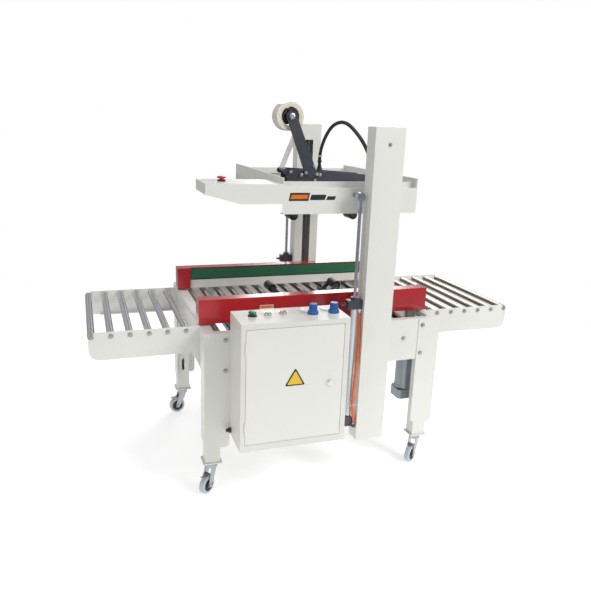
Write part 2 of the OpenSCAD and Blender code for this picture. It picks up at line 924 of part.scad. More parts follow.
module control_box() {
    y = [-box_y, -side_y];
    color(cream)
        difference() {
            union() {
                difference() {
                    block(box_x, y, box_z);
                    block([box_x[0] + wall, box_x[1] - wall], [y[0] + wall, y[1] - wall],
                        [box_z[0] + wall, box_z[1] - wall]);
                }
                bar_x([-side_y - 26, box_z[0] + 22], 11, [box_x[0] - 10, box_x[0] + 1]);
                bar_x([-side_y - 26, box_z[0] + 22], 7, [box_x[0] - 20, box_x[0] - 9]);
                door_surround();
                for (i = [0 : 2])
                    bar_z([key_x[i], key_y], bezel_r[i], [box_z[1] - 1, box_z[1] + bezel_h[i]]);
                for (x = knob_x)
                    bar_z([x, knob_y], 20, [box_z[1] - 1, box_z[1] + 3]);
            }
            block([door_x[0] + 8, door_x[1] - 8], [y[0] - 1, y[0] + wall + 1],
                [door_z[0] + 8, door_z[1] - 8]);
            for (x = key_x)
                bar_z([x, key_y], key_r + fit, [box_z[1] - wall - 1, box_z[1] + 20]);
            for (x = knob_x)
                bar_z([x, knob_y], stem_r + fit, [box_z[1] - wall - 1, box_z[1] + 20]);
        }
}

module door() {
    y = -box_y;
    lip = [door_x[0] + 13, door_x[1] - 12];
    color(cream) {
        block(door_x, [y - 3, y - gap], door_z);
        difference() {
            block(lip, [y - 1, y + 12], [door_z[0] + 12, door_z[1] - 12]);
            block([lip[0] + 1.5, lip[1] - 1.5], [y - gap, y + 13],
                [door_z[0] + 13.5, door_z[1] - 13.5]);
        }
        for (z = hinge_z)
            bar_z([door_x[0] - 2, y - 3], hinge_r, [z, z + hinge_l]);
        bar_y([door_x[1] - 50, (door_z[0] + door_z[1]) / 2 - 5], 13, [y - 6, y - 2]);
        bar_y([door_x[1] - 50, (door_z[0] + door_z[1]) / 2 - 5], 8, [y - 9, y - 2]);
    }
}

module push_key(x, col) {
    color(col) {
        bar_z([x, key_y], key_r, [box_z[1] - 6, box_z[1] + bezel_h[1] + 2]);
        bar_z([x, key_y], key_r + 2, [box_z[1] - 10, box_z[1] - 5]);
    }
}

module mushroom(at, z, r_stem, r, lift, col) {
    color(col)
        translate([at[0], at[1], z])
            rotate_extrude()
                polygon([[0, -10], [r_stem + 2, -10], [r_stem + 2, -5], [r_stem, -5],
                    [r_stem, lift], [r - 2, lift], [r, lift + 2], [r, lift + 4], [r - 2, lift + 7],
                    [r / 2, lift + 8], [0, lift + 8.4]]);
}

module regulator(x) {
    z = box_z[1];
    color("#1C5FC0")
        translate([x, knob_y, z])
            rotate_extrude()
                polygon([[0, -12], [stem_r + 2, -12], [stem_r + 2, -4], [stem_r, -4], [stem_r, 3.5],
                    [21, 3.5], [21, 6], [19.5, 15], [16, 17], [15.5, 41], [14, 43], [0, 43]]);
}

// ---- casters ----

module place(i) {
    translate([caster_at[i][0], caster_at[i][1], 0])
        rotate([0, 0, caster_turn[i]])
            children();
}

module cheek() {
    top = foot_h - plate_t - 7.5;
    polygon([[-16, top], [14, top], [20, top - 8], [trail + 9, wheel_r + 4], [trail + 9, wheel_r - 7],
        [trail - 4, wheel_r - 10], [trail - 12, wheel_r], [-4, top - 34]]);
}

module caster_fork(i) {
    top = foot_h - plate_t - 7.5;
    half = wheel_w / 2 + 3;
    color(steel)
        place(i) {
            difference() {
                union() {
                    bar_z([0, 0], 24, [top - 11, top]);
                    both_y()
                        slab_y([-half - 2.5, -half])
                            cheek();
                    block([-16, 14], [-half - 1, half + 1], [top - 5, top]);
                }
                bar_z([0, 0], 6 + fit, [top - 20, top + 1]);
                bar_z([0, 0], 12, [top - 40, top - 8]);
            }
            bar_y([trail, wheel_r], 5, [-half - 6, half + 6]);
            block([trail + 6, trail + 30], [-9, 9], [2 * wheel_r + 1, 2 * wheel_r + 5]);
            block([trail - 14, trail + 8], [-half, half], [2 * wheel_r + 3, 2 * wheel_r + 6]);
        }
}

module caster_wheel(i) {
    r = wheel_r;
    h = wheel_w / 2;
    color("#8E99A3")
        place(i)
            translate([trail, 0, wheel_r])
                rotate([90, 0, 0])
                    rotate_extrude()
                        polygon([[5 + fit, -h - 1], [9, -h - 1], [11, -h + 2], [25, -h + 3],
                            [27, -h], [r - 3, -h], [r, -h + 5], [r, -1], [r - 1, 0], [r, 1],
                            [r, h - 5], [r - 3, h], [27, h], [25, h - 3], [11, h - 2],
                            [9, h + 1], [5 + fit, h + 1]]);
}

// ---- nodes ----

centred() body_frame();
centred() table_frames();
centred() legs();
centred() columns();
centred() frame_hardware();
centred() cylinders();
centred() air_hose();
centred() bed_rollers();
centred() lower_head();
centred() control_box();
centred() carriage_frame();
centred() upper_head();
centred() piston_rods();
centred() conduit();
centred() tape_roll();
centred() reel_hub();
centred() tape_web();
centred() wipe_arm(up_front, -1, -1);  // upper_front_arm
centred() wipe_arm(up_rear, 1, -1);  // upper_rear_arm
centred() wipe_arm(low_front, -1, 1);  // lower_front_arm
centred() wipe_arm(low_rear, 1, 1);  // lower_rear_arm
centred() wipe_roller(up_front, -1, -1);  // upper_front_roller
centred() wipe_roller(up_rear, 1, -1);  // upper_rear_roller
centred() wipe_roller(low_front, -1, 1);  // lower_front_roller
centred() wipe_roller(low_rear, 1, 1);  // lower_rear_roller
centred() guide();  // near_guide
centred() mirror([0, 1, 0]) guide();  // far_guide
centred() belt();  // near_belt
centred() mirror([0, 1, 0]) belt();  // far_belt
centred() motor();  // near_motor
centred() mirror([0, 1, 0]) motor();  // far_motor
centred() drive_pulley();  // near_pulley
centred() mirror([0, 1, 0]) drive_pulley();  // far_pulley
centred() door();
centred()  // start_button
    mushroom([key_x[0], key_y], box_z[1], key_r, 15, 10.5, green);
centred() push_key(key_x[1], green);  // green_button
centred() push_key(key_x[2], red);  // red_button
centred() regulator(knob_x[0]);  // left_regulator
centred() regulator(knob_x[1]);  // right_regulator
centred()  // stop_button
    mushroom([panel_x + 78, -car_y + 90], panel_top, 8, 17, 12.5, red);
centred() caster_fork(0);  // fork_a
centred() caster_fork(1);  // fork_b
centred() caster_fork(2);  // fork_c
centred() caster_fork(3);  // fork_d
centred() caster_wheel(0);  // wheel_a
centred() caster_wheel(1);  // wheel_b
centred() caster_wheel(2);  // wheel_c
centred() caster_wheel(3);  // wheel_d
centred() table_roller(-1, 0);  // infeed_roller_1
centred() table_roller(-1, 1);  // infeed_roller_2
centred() table_roller(-1, 2);  // infeed_roller_3
centred() table_roller(-1, 3);  // infeed_roller_4
centred() table_roller(-1, 4);  // infeed_roller_5
centred() table_roller(-1, 5);  // infeed_roller_6
centred() table_roller(1, 0);  // outfeed_roller_1
centred() table_roller(1, 1);  // outfeed_roller_2
centred() table_roller(1, 2);  // outfeed_roller_3
centred() table_roller(1, 3);  // outfeed_roller_4
centred() table_roller(1, 4);  // outfeed_roller_5
centred() table_roller(1, 5);  // outfeed_roller_6
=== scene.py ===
import json
import math
import bpy
import bmesh
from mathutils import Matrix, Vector


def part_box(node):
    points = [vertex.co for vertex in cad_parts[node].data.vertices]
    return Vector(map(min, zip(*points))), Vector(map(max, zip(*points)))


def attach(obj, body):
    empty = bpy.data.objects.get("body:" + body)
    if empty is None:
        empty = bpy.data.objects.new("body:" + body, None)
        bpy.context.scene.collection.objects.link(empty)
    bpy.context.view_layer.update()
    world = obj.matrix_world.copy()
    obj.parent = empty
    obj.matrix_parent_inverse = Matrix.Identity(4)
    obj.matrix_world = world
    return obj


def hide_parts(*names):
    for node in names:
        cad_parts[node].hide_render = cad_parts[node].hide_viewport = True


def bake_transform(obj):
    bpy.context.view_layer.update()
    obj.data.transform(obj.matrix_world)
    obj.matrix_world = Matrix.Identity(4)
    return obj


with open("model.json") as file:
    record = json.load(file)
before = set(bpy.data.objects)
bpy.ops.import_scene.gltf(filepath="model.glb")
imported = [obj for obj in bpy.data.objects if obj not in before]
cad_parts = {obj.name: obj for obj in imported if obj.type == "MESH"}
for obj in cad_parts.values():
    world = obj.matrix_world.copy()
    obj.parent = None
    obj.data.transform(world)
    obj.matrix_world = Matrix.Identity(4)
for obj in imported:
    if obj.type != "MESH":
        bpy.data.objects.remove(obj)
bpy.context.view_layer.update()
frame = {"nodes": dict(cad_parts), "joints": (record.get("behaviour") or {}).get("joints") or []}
cadNodes = frame["nodes"]
scene = bpy.context.scene
shiftY = 0.05025  # the CAD model's own shift across the conveyor
print("stage: frame loaded", len(cadNodes), "nodes")

# ---------- camera, light and floor

cameraLook = {
    "lens": 37.964,
    "place": (-0.9146, -2.5386, 1.4502),
    "turn": (74.496, -2.016, -18.721),
}


def makeCamera(look):
    data = bpy.data.cameras.new("camera")
    data.lens = look["lens"]
    data.sensor_width = 36
    data.clip_end = 60
    camera = bpy.data.objects.new("camera", data)
    camera.location = look["place"]
    camera.rotation_euler = [math.radians(a) for a in look["turn"]]
    scene.collection.objects.link(camera)
    scene.camera = camera


lightLook = {
    "key": {"place": (2.6, -3.4, 3.4), "aim": (0.0, 0.0, 0.7), "size": 2.4, "power": 138},
    "top": {"place": (-0.2, 0.3, 4.2), "aim": (0.0, 0.0, 0.6), "size": 3.6, "power": 42},
    "fill": {"place": (-3.6, -2.2, 2.0), "aim": (0.0, 0.0, 0.7), "size": 2.6, "power": 29},
    "rim": {"place": (1.6, 3.6, 2.6), "aim": (0.0, 0.0, 0.8), "size": 2.2, "power": 45},
}


def makeLight(name, look):
    data = bpy.data.lights.new(name, "AREA")
    data.shape = "DISK"
    data.size = look["size"]
    data.energy = look["power"]
    lamp = bpy.data.objects.new(name, data)
    lamp.location = look["place"]
    aim = Vector(look["aim"]) - Vector(look["place"])
    lamp.rotation_euler = aim.to_track_quat("-Z", "Y").to_euler()
    scene.collection.objects.link(lamp)


worldLook = {"low": 0.31, "side": 0.25, "high": 0.475}


def makeWorld(look):
    world = bpy.data.worlds.new("studio")
    world.use_nodes = True
    scene.world = world
    tree = world.node_tree
    tree.nodes.clear()
    coords = tree.nodes.new("ShaderNodeTexCoord")
    split = tree.nodes.new("ShaderNodeSeparateXYZ")
    tree.links.new(coords.outputs["Generated"], split.inputs[0])
    ramp = tree.nodes.new("ShaderNodeValToRGB")
    ramp.color_ramp.elements[0].position = 0.0
    ramp.color_ramp.elements[0].color = (look["low"],) * 3 + (1,)
    ramp.color_ramp.elements[1].position = 1.0
    ramp.color_ramp.elements[1].color = (look["high"],) * 3 + (1,)
    middle = ramp.color_ramp.elements.new(0.5)
    middle.color = (look["side"],) * 3 + (1,)
    scaled = tree.nodes.new("ShaderNodeMapRange")
    scaled.inputs["From Min"].default_value = -1
    scaled.inputs["From Max"].default_value = 1
    tree.links.new(split.outputs["Z"], scaled.inputs["Value"])
    tree.links.new(scaled.outputs["Result"], ramp.inputs["Fac"])
    soft = tree.nodes.new("ShaderNodeBackground")
    tree.links.new(ramp.outputs["Color"], soft.inputs["Color"])
    plain = tree.nodes.new("ShaderNodeBackground")
    plain.inputs["Color"].default_value = (1, 1, 1, 1)
    path = tree.nodes.new("ShaderNodeLightPath")
    mix = tree.nodes.new("ShaderNodeMixShader")
    out = tree.nodes.new("ShaderNodeOutputWorld")
    tree.links.new(path.outputs["Is Camera Ray"], mix.inputs["Fac"])
    tree.links.new(soft.outputs[0], mix.inputs[1])
    tree.links.new(plain.outputs[0], mix.inputs[2])
    tree.links.new(mix.outputs[0], out.inputs["Surface"])


floorLook = {"reach": 9.0, "clearFrom": 1.5, "clearTo": 3.6, "color": (0.9, 0.9, 0.9), "glow": 0.42}


def makeFloor(look):
    # the floor fades out into the white background, so no horizon shows
    mesh = bpy.data.meshes.new("floor")
    reach = look["reach"]
    mesh.from_pydata([(-reach, -reach, 0), (reach, -reach, 0), (reach, reach, 0), (-reach, reach, 0)],
                     [], [(0, 1, 2, 3)])
    floor = bpy.data.objects.new("floor", mesh)
    scene.collection.objects.link(floor)
    material = bpy.data.materials.new("floorWhite")
    material.use_nodes = True
    tree = material.node_tree
    shader = tree.nodes["Principled BSDF"]
    shader.inputs["Base Color"].default_value = look["color"] + (1,)
    shader.inputs["Roughness"].default_value = 0.7
    shader.inputs["Specular IOR Level"].default_value = 0.1
    shader.inputs["Emission Color"].default_value = (1, 1, 1, 1)
    shader.inputs["Emission Strength"].default_value = look["glow"]
    coords = tree.nodes.new("ShaderNodeTexCoord")
    length = tree.nodes.new("ShaderNodeVectorMath")
    length.operation = "LENGTH"
    tree.links.new(coords.outputs["Object"], length.inputs[0])
    fade = tree.nodes.new("ShaderNodeMapRange")
    fade.interpolation_type = "SMOOTHSTEP"
    fade.inputs["From Min"].default_value = look["clearFrom"]
    fade.inputs["From Max"].default_value = look["clearTo"]
    fade.inputs["To Min"].default_value = 1.0
    fade.inputs["To Max"].default_value = 0.0
    tree.links.new(length.outputs["Value"], fade.inputs["Value"])
    tree.links.new(fade.outputs["Result"], shader.inputs["Alpha"])
    floor.data.materials.append(material)


makeCamera(cameraLook)
for lightName, oneLight in lightLook.items():
    makeLight(lightName, oneLight)
makeWorld(worldLook)
makeFloor(floorLook)
scene.view_settings.view_transform = "Standard"
print("stage: camera and light")

# ---------- shared surface effects, each built once as a node group


def newGroup(name, inputs, outputs):
    group = bpy.data.node_groups.new(name, "ShaderNodeTree")
    for label, kind, value in inputs:
        socket = group.interface.new_socket(label, in_out="INPUT", socket_type="NodeSocket" + kind)
        socket.default_value = value
    for label, kind in outputs:
        group.interface.new_socket(label, in_out="OUTPUT", socket_type="NodeSocket" + kind)
    return group, group.nodes.new("NodeGroupInput"), group.nodes.new("NodeGroupOutput")


def addMath(tree, kind, a, b=None, clamp=False):
    node = tree.nodes.new("ShaderNodeMath")
    node.operation = kind
    node.use_clamp = clamp
    for slotIndex, value in enumerate((a, b)):
        if value is None:
            continue
        if isinstance(value, (int, float)):
            node.inputs[slotIndex].default_value = value
        else:
            tree.links.new(value, node.inputs[slotIndex])
    return node.outputs[0]


def addVector(tree, kind, a, b=None, out="Vector"):
    node = tree.nodes.new("ShaderNodeVectorMath")
    node.operation = kind
    for slotIndex, value in enumerate((a, b)):
        if value is None:
            continue
        if isinstance(value, (tuple, list)):
            node.inputs[slotIndex].default_value = value
        else:
            tree.links.new(value, node.inputs[slotIndex])
    return node.outputs[out]


def addRange(tree, value, low, high, toLow=0.0, toHigh=1.0, smooth=True):
    node = tree.nodes.new("ShaderNodeMapRange")
    node.interpolation_type = "SMOOTHSTEP" if smooth else "LINEAR"
    tree.links.new(value, node.inputs["Value"])
    for label, amount in (("From Min", low), ("From Max", high), ("To Min", toLow), ("To Max", toHigh)):
        if isinstance(amount, (int, float)):
            node.inputs[label].default_value = amount
        else:
            tree.links.new(amount, node.inputs[label])
    return node.outputs["Result"]


def addNoise(tree, vector, scale, detail=3.0, roughness=0.55):
    node = tree.nodes.new("ShaderNodeTexNoise")
    node.inputs["Detail"].default_value = detail
    node.inputs["Roughness"].default_value = roughness
    tree.links.new(vector, node.inputs["Vector"])
    if isinstance(scale, (int, float)):
        node.inputs["Scale"].default_value = scale
    else:
        tree.links.new(scale, node.inputs["Scale"])
    return node.outputs["Fac"]


def addMix(tree, factor, a, b, mode="MIX"):
    node = tree.nodes.new("ShaderNodeMix")
    node.data_type = "RGBA"
    node.blend_type = mode
    if isinstance(factor, (int, float)):
        node.inputs["Factor"].default_value = factor
    else:
        tree.links.new(factor, node.inputs["Factor"])
    for label, value in (("A", a), ("B", b)):
        socket = [s for s in node.inputs if s.name == label and s.type == "RGBA"][0]
        if isinstance(value, (tuple, list)):
            socket.default_value = tuple(value) + (1,) * (4 - len(value))
        else:
            tree.links.new(value, socket)
    return [s for s in node.outputs if s.type == "RGBA"][0]


def objectPoint(tree):
    return tree.nodes.new("ShaderNodeTexCoord").outputs["Object"]


def buildEdgeWear():
    group, inside, out = newGroup("edgeWear", [("Radius", "Float", 0.0015), ("Spread", "Float", 0.5),
                                                ("Scale", "Float", 60.0)], [("Mask", "Float")])
    bevel = group.nodes.new("ShaderNodeBevel")
    bevel.samples = 4
    group.links.new(inside.outputs["Radius"], bevel.inputs["Radius"])
    geometry = group.nodes.new("ShaderNodeNewGeometry")
    same = addVector(group, "DOT_PRODUCT", bevel.outputs["Normal"], geometry.outputs["Normal"], "Value")
    edge = addRange(group, same, 0.999, 0.90)
    breakup = addNoise(group, objectPoint(group), inside.outputs["Scale"], 5.0, 0.65)
    limit = addMath(group, "SUBTRACT", 1.0, inside.outputs["Spread"])
    patches = addRange(group, breakup, limit, addMath(group, "ADD", limit, 0.12))
    group.links.new(addMath(group, "MULTIPLY", edge, patches, True), out.inputs["Mask"])
    return group


def buildUsedTone():
    group, inside, out = newGroup("usedTone", [
        ("Color", "Color", (0.8, 0.8, 0.8, 1)), ("Grime Color", "Color", (0.25, 0.22, 0.18, 1)),
        ("Tone", "Float", 0.03), ("Grime", "Float", 0.2), ("Dust", "Float", 0.1),
        ("Foot Height", "Float", 0.35)], [("Color", "Color"), ("Stain", "Float")])
    point = objectPoint(group)
    wide = addNoise(group, point, 2.2, 2.0)
    fine = addNoise(group, point, 38.0, 6.0, 0.7)
    shade = addMath(group, "ADD", 1.0, addMath(group, "MULTIPLY", inside.outputs["Tone"],
                                               addRange(group, wide, 0.3, 0.7, -1.0, 1.0)))
    toned = addVector(group, "SCALE", inside.outputs["Color"])
    group.links.new(shade, toned.node.inputs["Scale"])
    place = group.nodes.new("ShaderNodeSeparateXYZ")
    group.links.new(point, place.inputs[0])
    low = addRange(group, place.outputs["Z"], inside.outputs["Foot Height"], 0.0)
    spots = addRange(group, fine, 0.56, 0.78)
    streaked = addVector(group, "MULTIPLY", point, (26.0, 26.0, 1.6))
    runs = addRange(group, addNoise(group, streaked, 1.0, 4.0, 0.6), 0.55, 0.8)
    marks = addMath(group, "ADD", addMath(group, "MULTIPLY", spots, addMath(group, "ADD", low, 0.25)),
                    addMath(group, "MULTIPLY", runs, 0.22))
    stain = addMath(group, "MULTIPLY", marks, inside.outputs["Grime"], True)
    stained = addMix(group, stain, toned, inside.outputs["Grime Color"])
    geometry = group.nodes.new("ShaderNodeNewGeometry")
    facing = group.nodes.new("ShaderNodeSeparateXYZ")
    group.links.new(geometry.outputs["Normal"], facing.inputs[0])
    upward = addRange(group, facing.outputs["Z"], 0.6, 1.0)
    settled = addMath(group, "MULTIPLY", upward, addRange(group, wide, 0.25, 0.75, 0.3, 1.0))
    dusty = addMath(group, "MULTIPLY", settled, inside.outputs["Dust"], True)
    group.links.new(addMix(group, dusty, stained, (0.62, 0.6, 0.56, 1)), out.inputs["Color"])
    group.links.new(addMath(group, "ADD", stain, dusty, True), out.inputs["Stain"])
    return group


def buildCoatGrain():
    group, inside, out = newGroup("coatGrain", [("Scale", "Float", 700.0), ("Smudge", "Float", 9.0)],
                                  [("Height", "Float"), ("Rough", "Float")])
    point = objectPoint(group)
    peel = addNoise(group, point, inside.outputs["Scale"], 2.0, 0.5)
    dents = addNoise(group, point, 6.0, 2.0, 0.5)
    height = addMath(group, "ADD", addMath(group, "MULTIPLY", peel, 0.35),
                     addMath(group, "MULTIPLY", dents, 1.4))
    group.links.new(height, out.inputs["Height"])
    group.links.new(addRange(group, addNoise(group, point, inside.outputs["Smudge"], 5.0, 0.6), 0.3, 0.72),
                    out.inputs["Rough"])
    return group


def buildTurnedLines():
    group, inside, out = newGroup("turnedLines", [("Stretch", "Vector", (1.0, 1.0, 1.0)),
                                                  ("Scale", "Float", 1.0)],
                                  [("Height", "Float"), ("Rough", "Float")])
    point = addVector(group, "MULTIPLY", objectPoint(group), inside.outputs["Stretch"])
    lines = addNoise(group, point, inside.outputs["Scale"], 4.0, 0.75)
    group.links.new(lines, out.inputs["Height"])
    group.links.new(addRange(group, lines, 0.3, 0.7), out.inputs["Rough"])
    return group


def buildRegion():
    group, inside, out = newGroup("regionMask", [("Low", "Vector", (0, 0, 0)), ("High", "Vector", (0, 0, 0))],
                                  [("Mask", "Float")])
    point = objectPoint(group)
    mask = None
    for a, b in ((point, inside.outputs["Low"]), (inside.outputs["High"], point)):
        split = group.nodes.new("ShaderNodeSeparateXYZ")
        group.links.new(addVector(group, "SUBTRACT", a, b), split.inputs[0])
        for axis in "XYZ":
            step = addMath(group, "GREATER_THAN", split.outputs[axis], 0.0)
            mask = step if mask is None else addMath(group, "MULTIPLY", mask, step)
    group.links.new(mask, out.inputs["Mask"])
    return group


edgeWear = buildEdgeWear()
usedTone = buildUsedTone()
coatGrain = buildCoatGrain()
turnedLines = buildTurnedLines()
regionMask = buildRegion()


def placeGroup(tree, group, **values):
    node = tree.nodes.new("ShaderNodeGroup")
    node.node_tree = group
    for label, value in values.items():
        socket = node.inputs[label.replace("_", " ")]
        if isinstance(value, (int, float)):
            socket.default_value = value
        elif isinstance(value, (tuple, list)):
            socket.default_value = tuple(value) if socket.type == "VECTOR" else tuple(value)[:3] + (1,)
        else:
            tree.links.new(value, socket)
    return node


def startMaterial(name):
    material = bpy.data.materials.new(name)
    material.use_nodes = True
    return material, material.node_tree, material.node_tree.nodes["Principled BSDF"]


def addBump(tree, shader, height, distance, strength=1.0):
    bump = tree.nodes.new("ShaderNodeBump")
    bump.inputs["Distance"].default_value = distance
    bump.inputs["Strength"].default_value = strength
    tree.links.new(height, bump.inputs["Height"])
    tree.links.new(bump.outputs["Normal"], shader.inputs["Normal"])
    return bump


def paintMaterial(name, look, regions=()):
    # regions: (low, high, colour, metallic, roughness) patches of another finish on the same sheet metal, or
    # of painted shade
    material, tree, shader = startMaterial(name)
    tone = placeGroup(tree, usedTone, Color=look["color"], Grime_Color=look["grimeColor"], Tone=look["tone"],
                      Grime=look["grime"], Dust=look["dust"], Foot_Height=look["foot"])
    grain = placeGroup(tree, coatGrain, Scale=look["peel"], Smudge=8.0)
    wear = placeGroup(tree, edgeWear, Radius=look["edge"], Spread=look["chips"], Scale=70.0)
    color = addMix(tree, wear.outputs["Mask"], tone.outputs["Color"], look["chipColor"])
    rough = addRange(tree, grain.outputs["Rough"], 0.0, 1.0, look["rough"] - 0.05, look["rough"] + 0.07,
                     False)
    rough = addMath(tree, "ADD", rough, addMath(tree, "MULTIPLY", tone.outputs["Stain"], 0.3), True)
    metallic = None
    for low, high, patchColor, patchMetal, patchRough in regions:
        mask = placeGroup(tree, regionMask, Low=low, High=high).outputs["Mask"]
        color = addMix(tree, mask, color, patchColor)
        rough = addMath(tree, "ADD", addMath(tree, "MULTIPLY", rough, addMath(tree, "SUBTRACT", 1.0, mask)),
                        addMath(tree, "MULTIPLY", mask, patchRough))
        part = addMath(tree, "MULTIPLY", mask, patchMetal)
        metallic = part if metallic is None else addMath(tree, "MAXIMUM", metallic, part)
    tree.links.new(color, shader.inputs["Base Color"])
    tree.links.new(rough, shader.inputs["Roughness"])
    if metallic is not None:
        tree.links.new(metallic, shader.inputs["Metallic"])
    shader.inputs["Coat Weight"].default_value = look["coat"]
    shader.inputs["Coat Roughness"].default_value = 0.12
    addBump(tree, shader, grain.outputs["Height"], look["bump"])
    return material


def addPaintedReflections(tree, color, bands):
    # painted reflections: lengthwise light and dark streaks on a roller that lies along Y stand in for the
    # surroundings mirrored in it; each sits at one slope of the surface
    point = tree.nodes.new("ShaderNodeTexCoord")
    split = tree.nodes.new("ShaderNodeSeparateXYZ")
    tree.links.new(point.outputs["Normal"], split.inputs[0])
    wander = addMath(tree, "MULTIPLY", addNoise(tree, addVector(tree, "MULTIPLY", objectPoint(tree),
                                                                (3.0, 1.2, 0.0)),
                                                1.0, 1.0), 0.05)
    slope = addMath(tree, "ADD", split.outputs["X"], wander)
    for place, width, bandColor, strength in bands:
        gap = addMath(tree, "ABSOLUTE", addMath(tree, "SUBTRACT", slope, place))
        mask = addMath(tree, "MULTIPLY", addRange(tree, gap, 0.0, width, 1.0, 0.0), strength)
        color = addMix(tree, mask, color, bandColor)
    return color


def metalMaterial(name, look, regions=()):
    material, tree, shader = startMaterial(name)
    tone = placeGroup(tree, usedTone, Color=look["color"], Grime_Color=look["grimeColor"], Tone=look["tone"],
                      Grime=look["grime"], Dust=look["dust"], Foot_Height=look["foot"])
    lines = placeGroup(tree, turnedLines, Stretch=look["stretch"], Scale=1.0)
    grain = placeGroup(tree, coatGrain, Scale=240.0, Smudge=14.0)
    rough = addRange(tree, lines.outputs["Rough"], 0.0, 1.0, look["rough"] - look["spread"],
                     look["rough"] + look["spread"], False)
    rough = addMath(tree, "ADD", rough, addMath(tree, "MULTIPLY", grain.outputs["Rough"], look["smudge"]),
                    True)
    color = tone.outputs["Color"]
    if "bands" in look:
        color = addPaintedReflections(tree, color, look["bands"])
    metallic = addMath(tree, "SUBTRACT", look["metal"],
                       addMath(tree, "MULTIPLY", tone.outputs["Stain"], 0.5), True)
    for low, high, patchColor, patchMetal, patchRough in regions:
        mask = placeGroup(tree, regionMask, Low=low, High=high).outputs["Mask"]
        keep = addMath(tree, "SUBTRACT", 1.0, mask)
        color = addMix(tree, mask, color, patchColor)
        rough = addMath(tree, "ADD", addMath(tree, "MULTIPLY", rough, keep),
                        addMath(tree, "MULTIPLY", mask, patchRough))
        metallic = addMath(tree, "ADD", addMath(tree, "MULTIPLY", metallic, keep),
                           addMath(tree, "MULTIPLY", mask, patchMetal))
    tree.links.new(color, shader.inputs["Base Color"])
    tree.links.new(rough, shader.inputs["Roughness"])
    tree.links.new(metallic, shader.inputs["Metallic"])
    addBump(tree, shader, lines.outputs["Height"], look["bump"])
    return material


def plasticMaterial(name, look):
    material, tree, shader = startMaterial(name)
    tone = placeGroup(tree, usedTone, Color=look["color"], Grime_Color=(0.12, 0.11, 0.1),
                      Tone=look.get("tone", 0.05),
                      Grime=look.get("grime", 0.1), Dust=look.get("dust", 0.05),
                      Foot_Height=look.get("foot", 0.01))
    grain = placeGroup(tree, coatGrain, Scale=look.get("grain", 1400.0), Smudge=30.0)
    tree.links.new(tone.outputs["Color"], shader.inputs["Base Color"])
    rough = addRange(tree, grain.outputs["Rough"], 0.0, 1.0, look["rough"] - 0.05, look["rough"] + 0.1, False)
    tree.links.new(rough, shader.inputs["Roughness"])
    shader.inputs["Coat Weight"].default_value = look.get("coat", 0.0)
    if look.get("metal", 0) > 0:
        shader.inputs["Metallic"].default_value = look["metal"]
    addBump(tree, shader, grain.outputs["Height"], look.get("bump", 0.0001))
    return material


creamLook = {
    "color": (0.74, 0.745, 0.705), "grimeColor": (0.33, 0.30, 0.24), "tone": 0.02, "grime": 0.16,
             "dust": 0.06,
    "foot": 0.30, "peel": 900.0, "edge": 0.0016, "chips": 0.36, "chipColor": (0.56, 0.55, 0.52),
             "rough": 0.36,
    "coat": 0.12, "bump": 0.00022,
}
redLook = dict(creamLook, color=(0.46, 0.010, 0.016), grimeColor=(0.12, 0.02, 0.015), tone=0.06, dust=0.10,
               grime=0.2,
               foot=0.01, chips=0.40, chipColor=(0.30, 0.05, 0.05), rough=0.2, coat=0.7, bump=0.00018)
blackLook = dict(creamLook, color=(0.040, 0.046, 0.062), grimeColor=(0.10, 0.10, 0.10), tone=0.1, dust=0.16,
                 grime=0.25,
                 foot=0.01, chips=0.42, chipColor=(0.16, 0.17, 0.19), rough=0.36, coat=0.15, bump=0.00025)
chromeLook = {
    "color": (0.70, 0.71, 0.73), "grimeColor": (0.16, 0.11, 0.08), "tone": 0.06, "grime": 0.45, "dust": 0.05,
    "foot": 0.01, "stretch": (40.0, 900.0, 40.0), "rough": 0.13, "spread": 0.05, "smudge": 0.1, "metal": 1.0,
    "bump": 0.00004,
}
zincLook = dict(chromeLook, color=(0.46, 0.48, 0.50), stretch=(120.0, 120.0, 260.0), rough=0.3, spread=0.08,
                smudge=0.12, grime=0.3, bump=0.00006)


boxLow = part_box("control_box")[0]
glandPatch = ((boxLow.x - 0.01, -9, -9), (boxLow.x + 0.0198, 9, 9), (0.02, 0.02, 0.022), 0.0, 0.45)


def topPatch(name, radius, color, metal, rough):
    # what stands on the box's top round this control
    low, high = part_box(name)
    x, y, z = (low.x + high.x) / 2, (low.y + high.y) / 2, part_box("left_regulator")[0].z + 0.0123
    return ((x - radius, y - radius, z), (x + radius, y + radius, 9), color, metal, rough)


boxPatches = [glandPatch, topPatch("start_button", 0.0175, (0.014, 0.014, 0.015), 0.0, 0.35)]
boxPatches += [topPatch(name, 0.0145, (0.62, 0.63, 0.65), 1.0, 0.2) for name in ("green_button",
                                                                                 "red_button")]
boxPatches += [topPatch(name, 0.0205, (0.80, 0.80, 0.78), 0.0, 0.35) for name in ("left_regulator",
                                                                                  "right_regulator")]
panelLow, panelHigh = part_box("carriage_frame")
estopPatch = ((panelLow.x, -9, panelHigh.z - 0.0225), (panelLow.x + 0.12, 9, panelHigh.z - 0.005),
              (0.015, 0.015, 0.016), 0.0, 0.35)
doorLow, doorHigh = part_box("door")
lockPatch = ((doorHigh.x - 0.09, doorLow.y - 0.01, -9), (doorHigh.x - 0.03, doorLow.y + 0.0058, 9),
             (0.62, 0.63, 0.65), 1.0, 0.22)
cylLow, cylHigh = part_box("cylinders")
tubePatch = ((-9, -9, cylLow.z + 0.050), (9, 9, cylHigh.z - 0.047), (0.66, 0.71, 0.76), 0.35, 0.28)


def stripPatch(name, side):
    low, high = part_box(name)
    inner = (high.y - 0.0095, high.y - 0.0055) if side < 0 else (low.y + 0.0055, low.y + 0.0095)
    return ((low.x + 0.0605, inner[0], high.z - 0.0975), (high.x - 0.0605, inner[1], high.z - 0.056),
            (0.74, 0.73, 0.67), 0.0, 0.4)


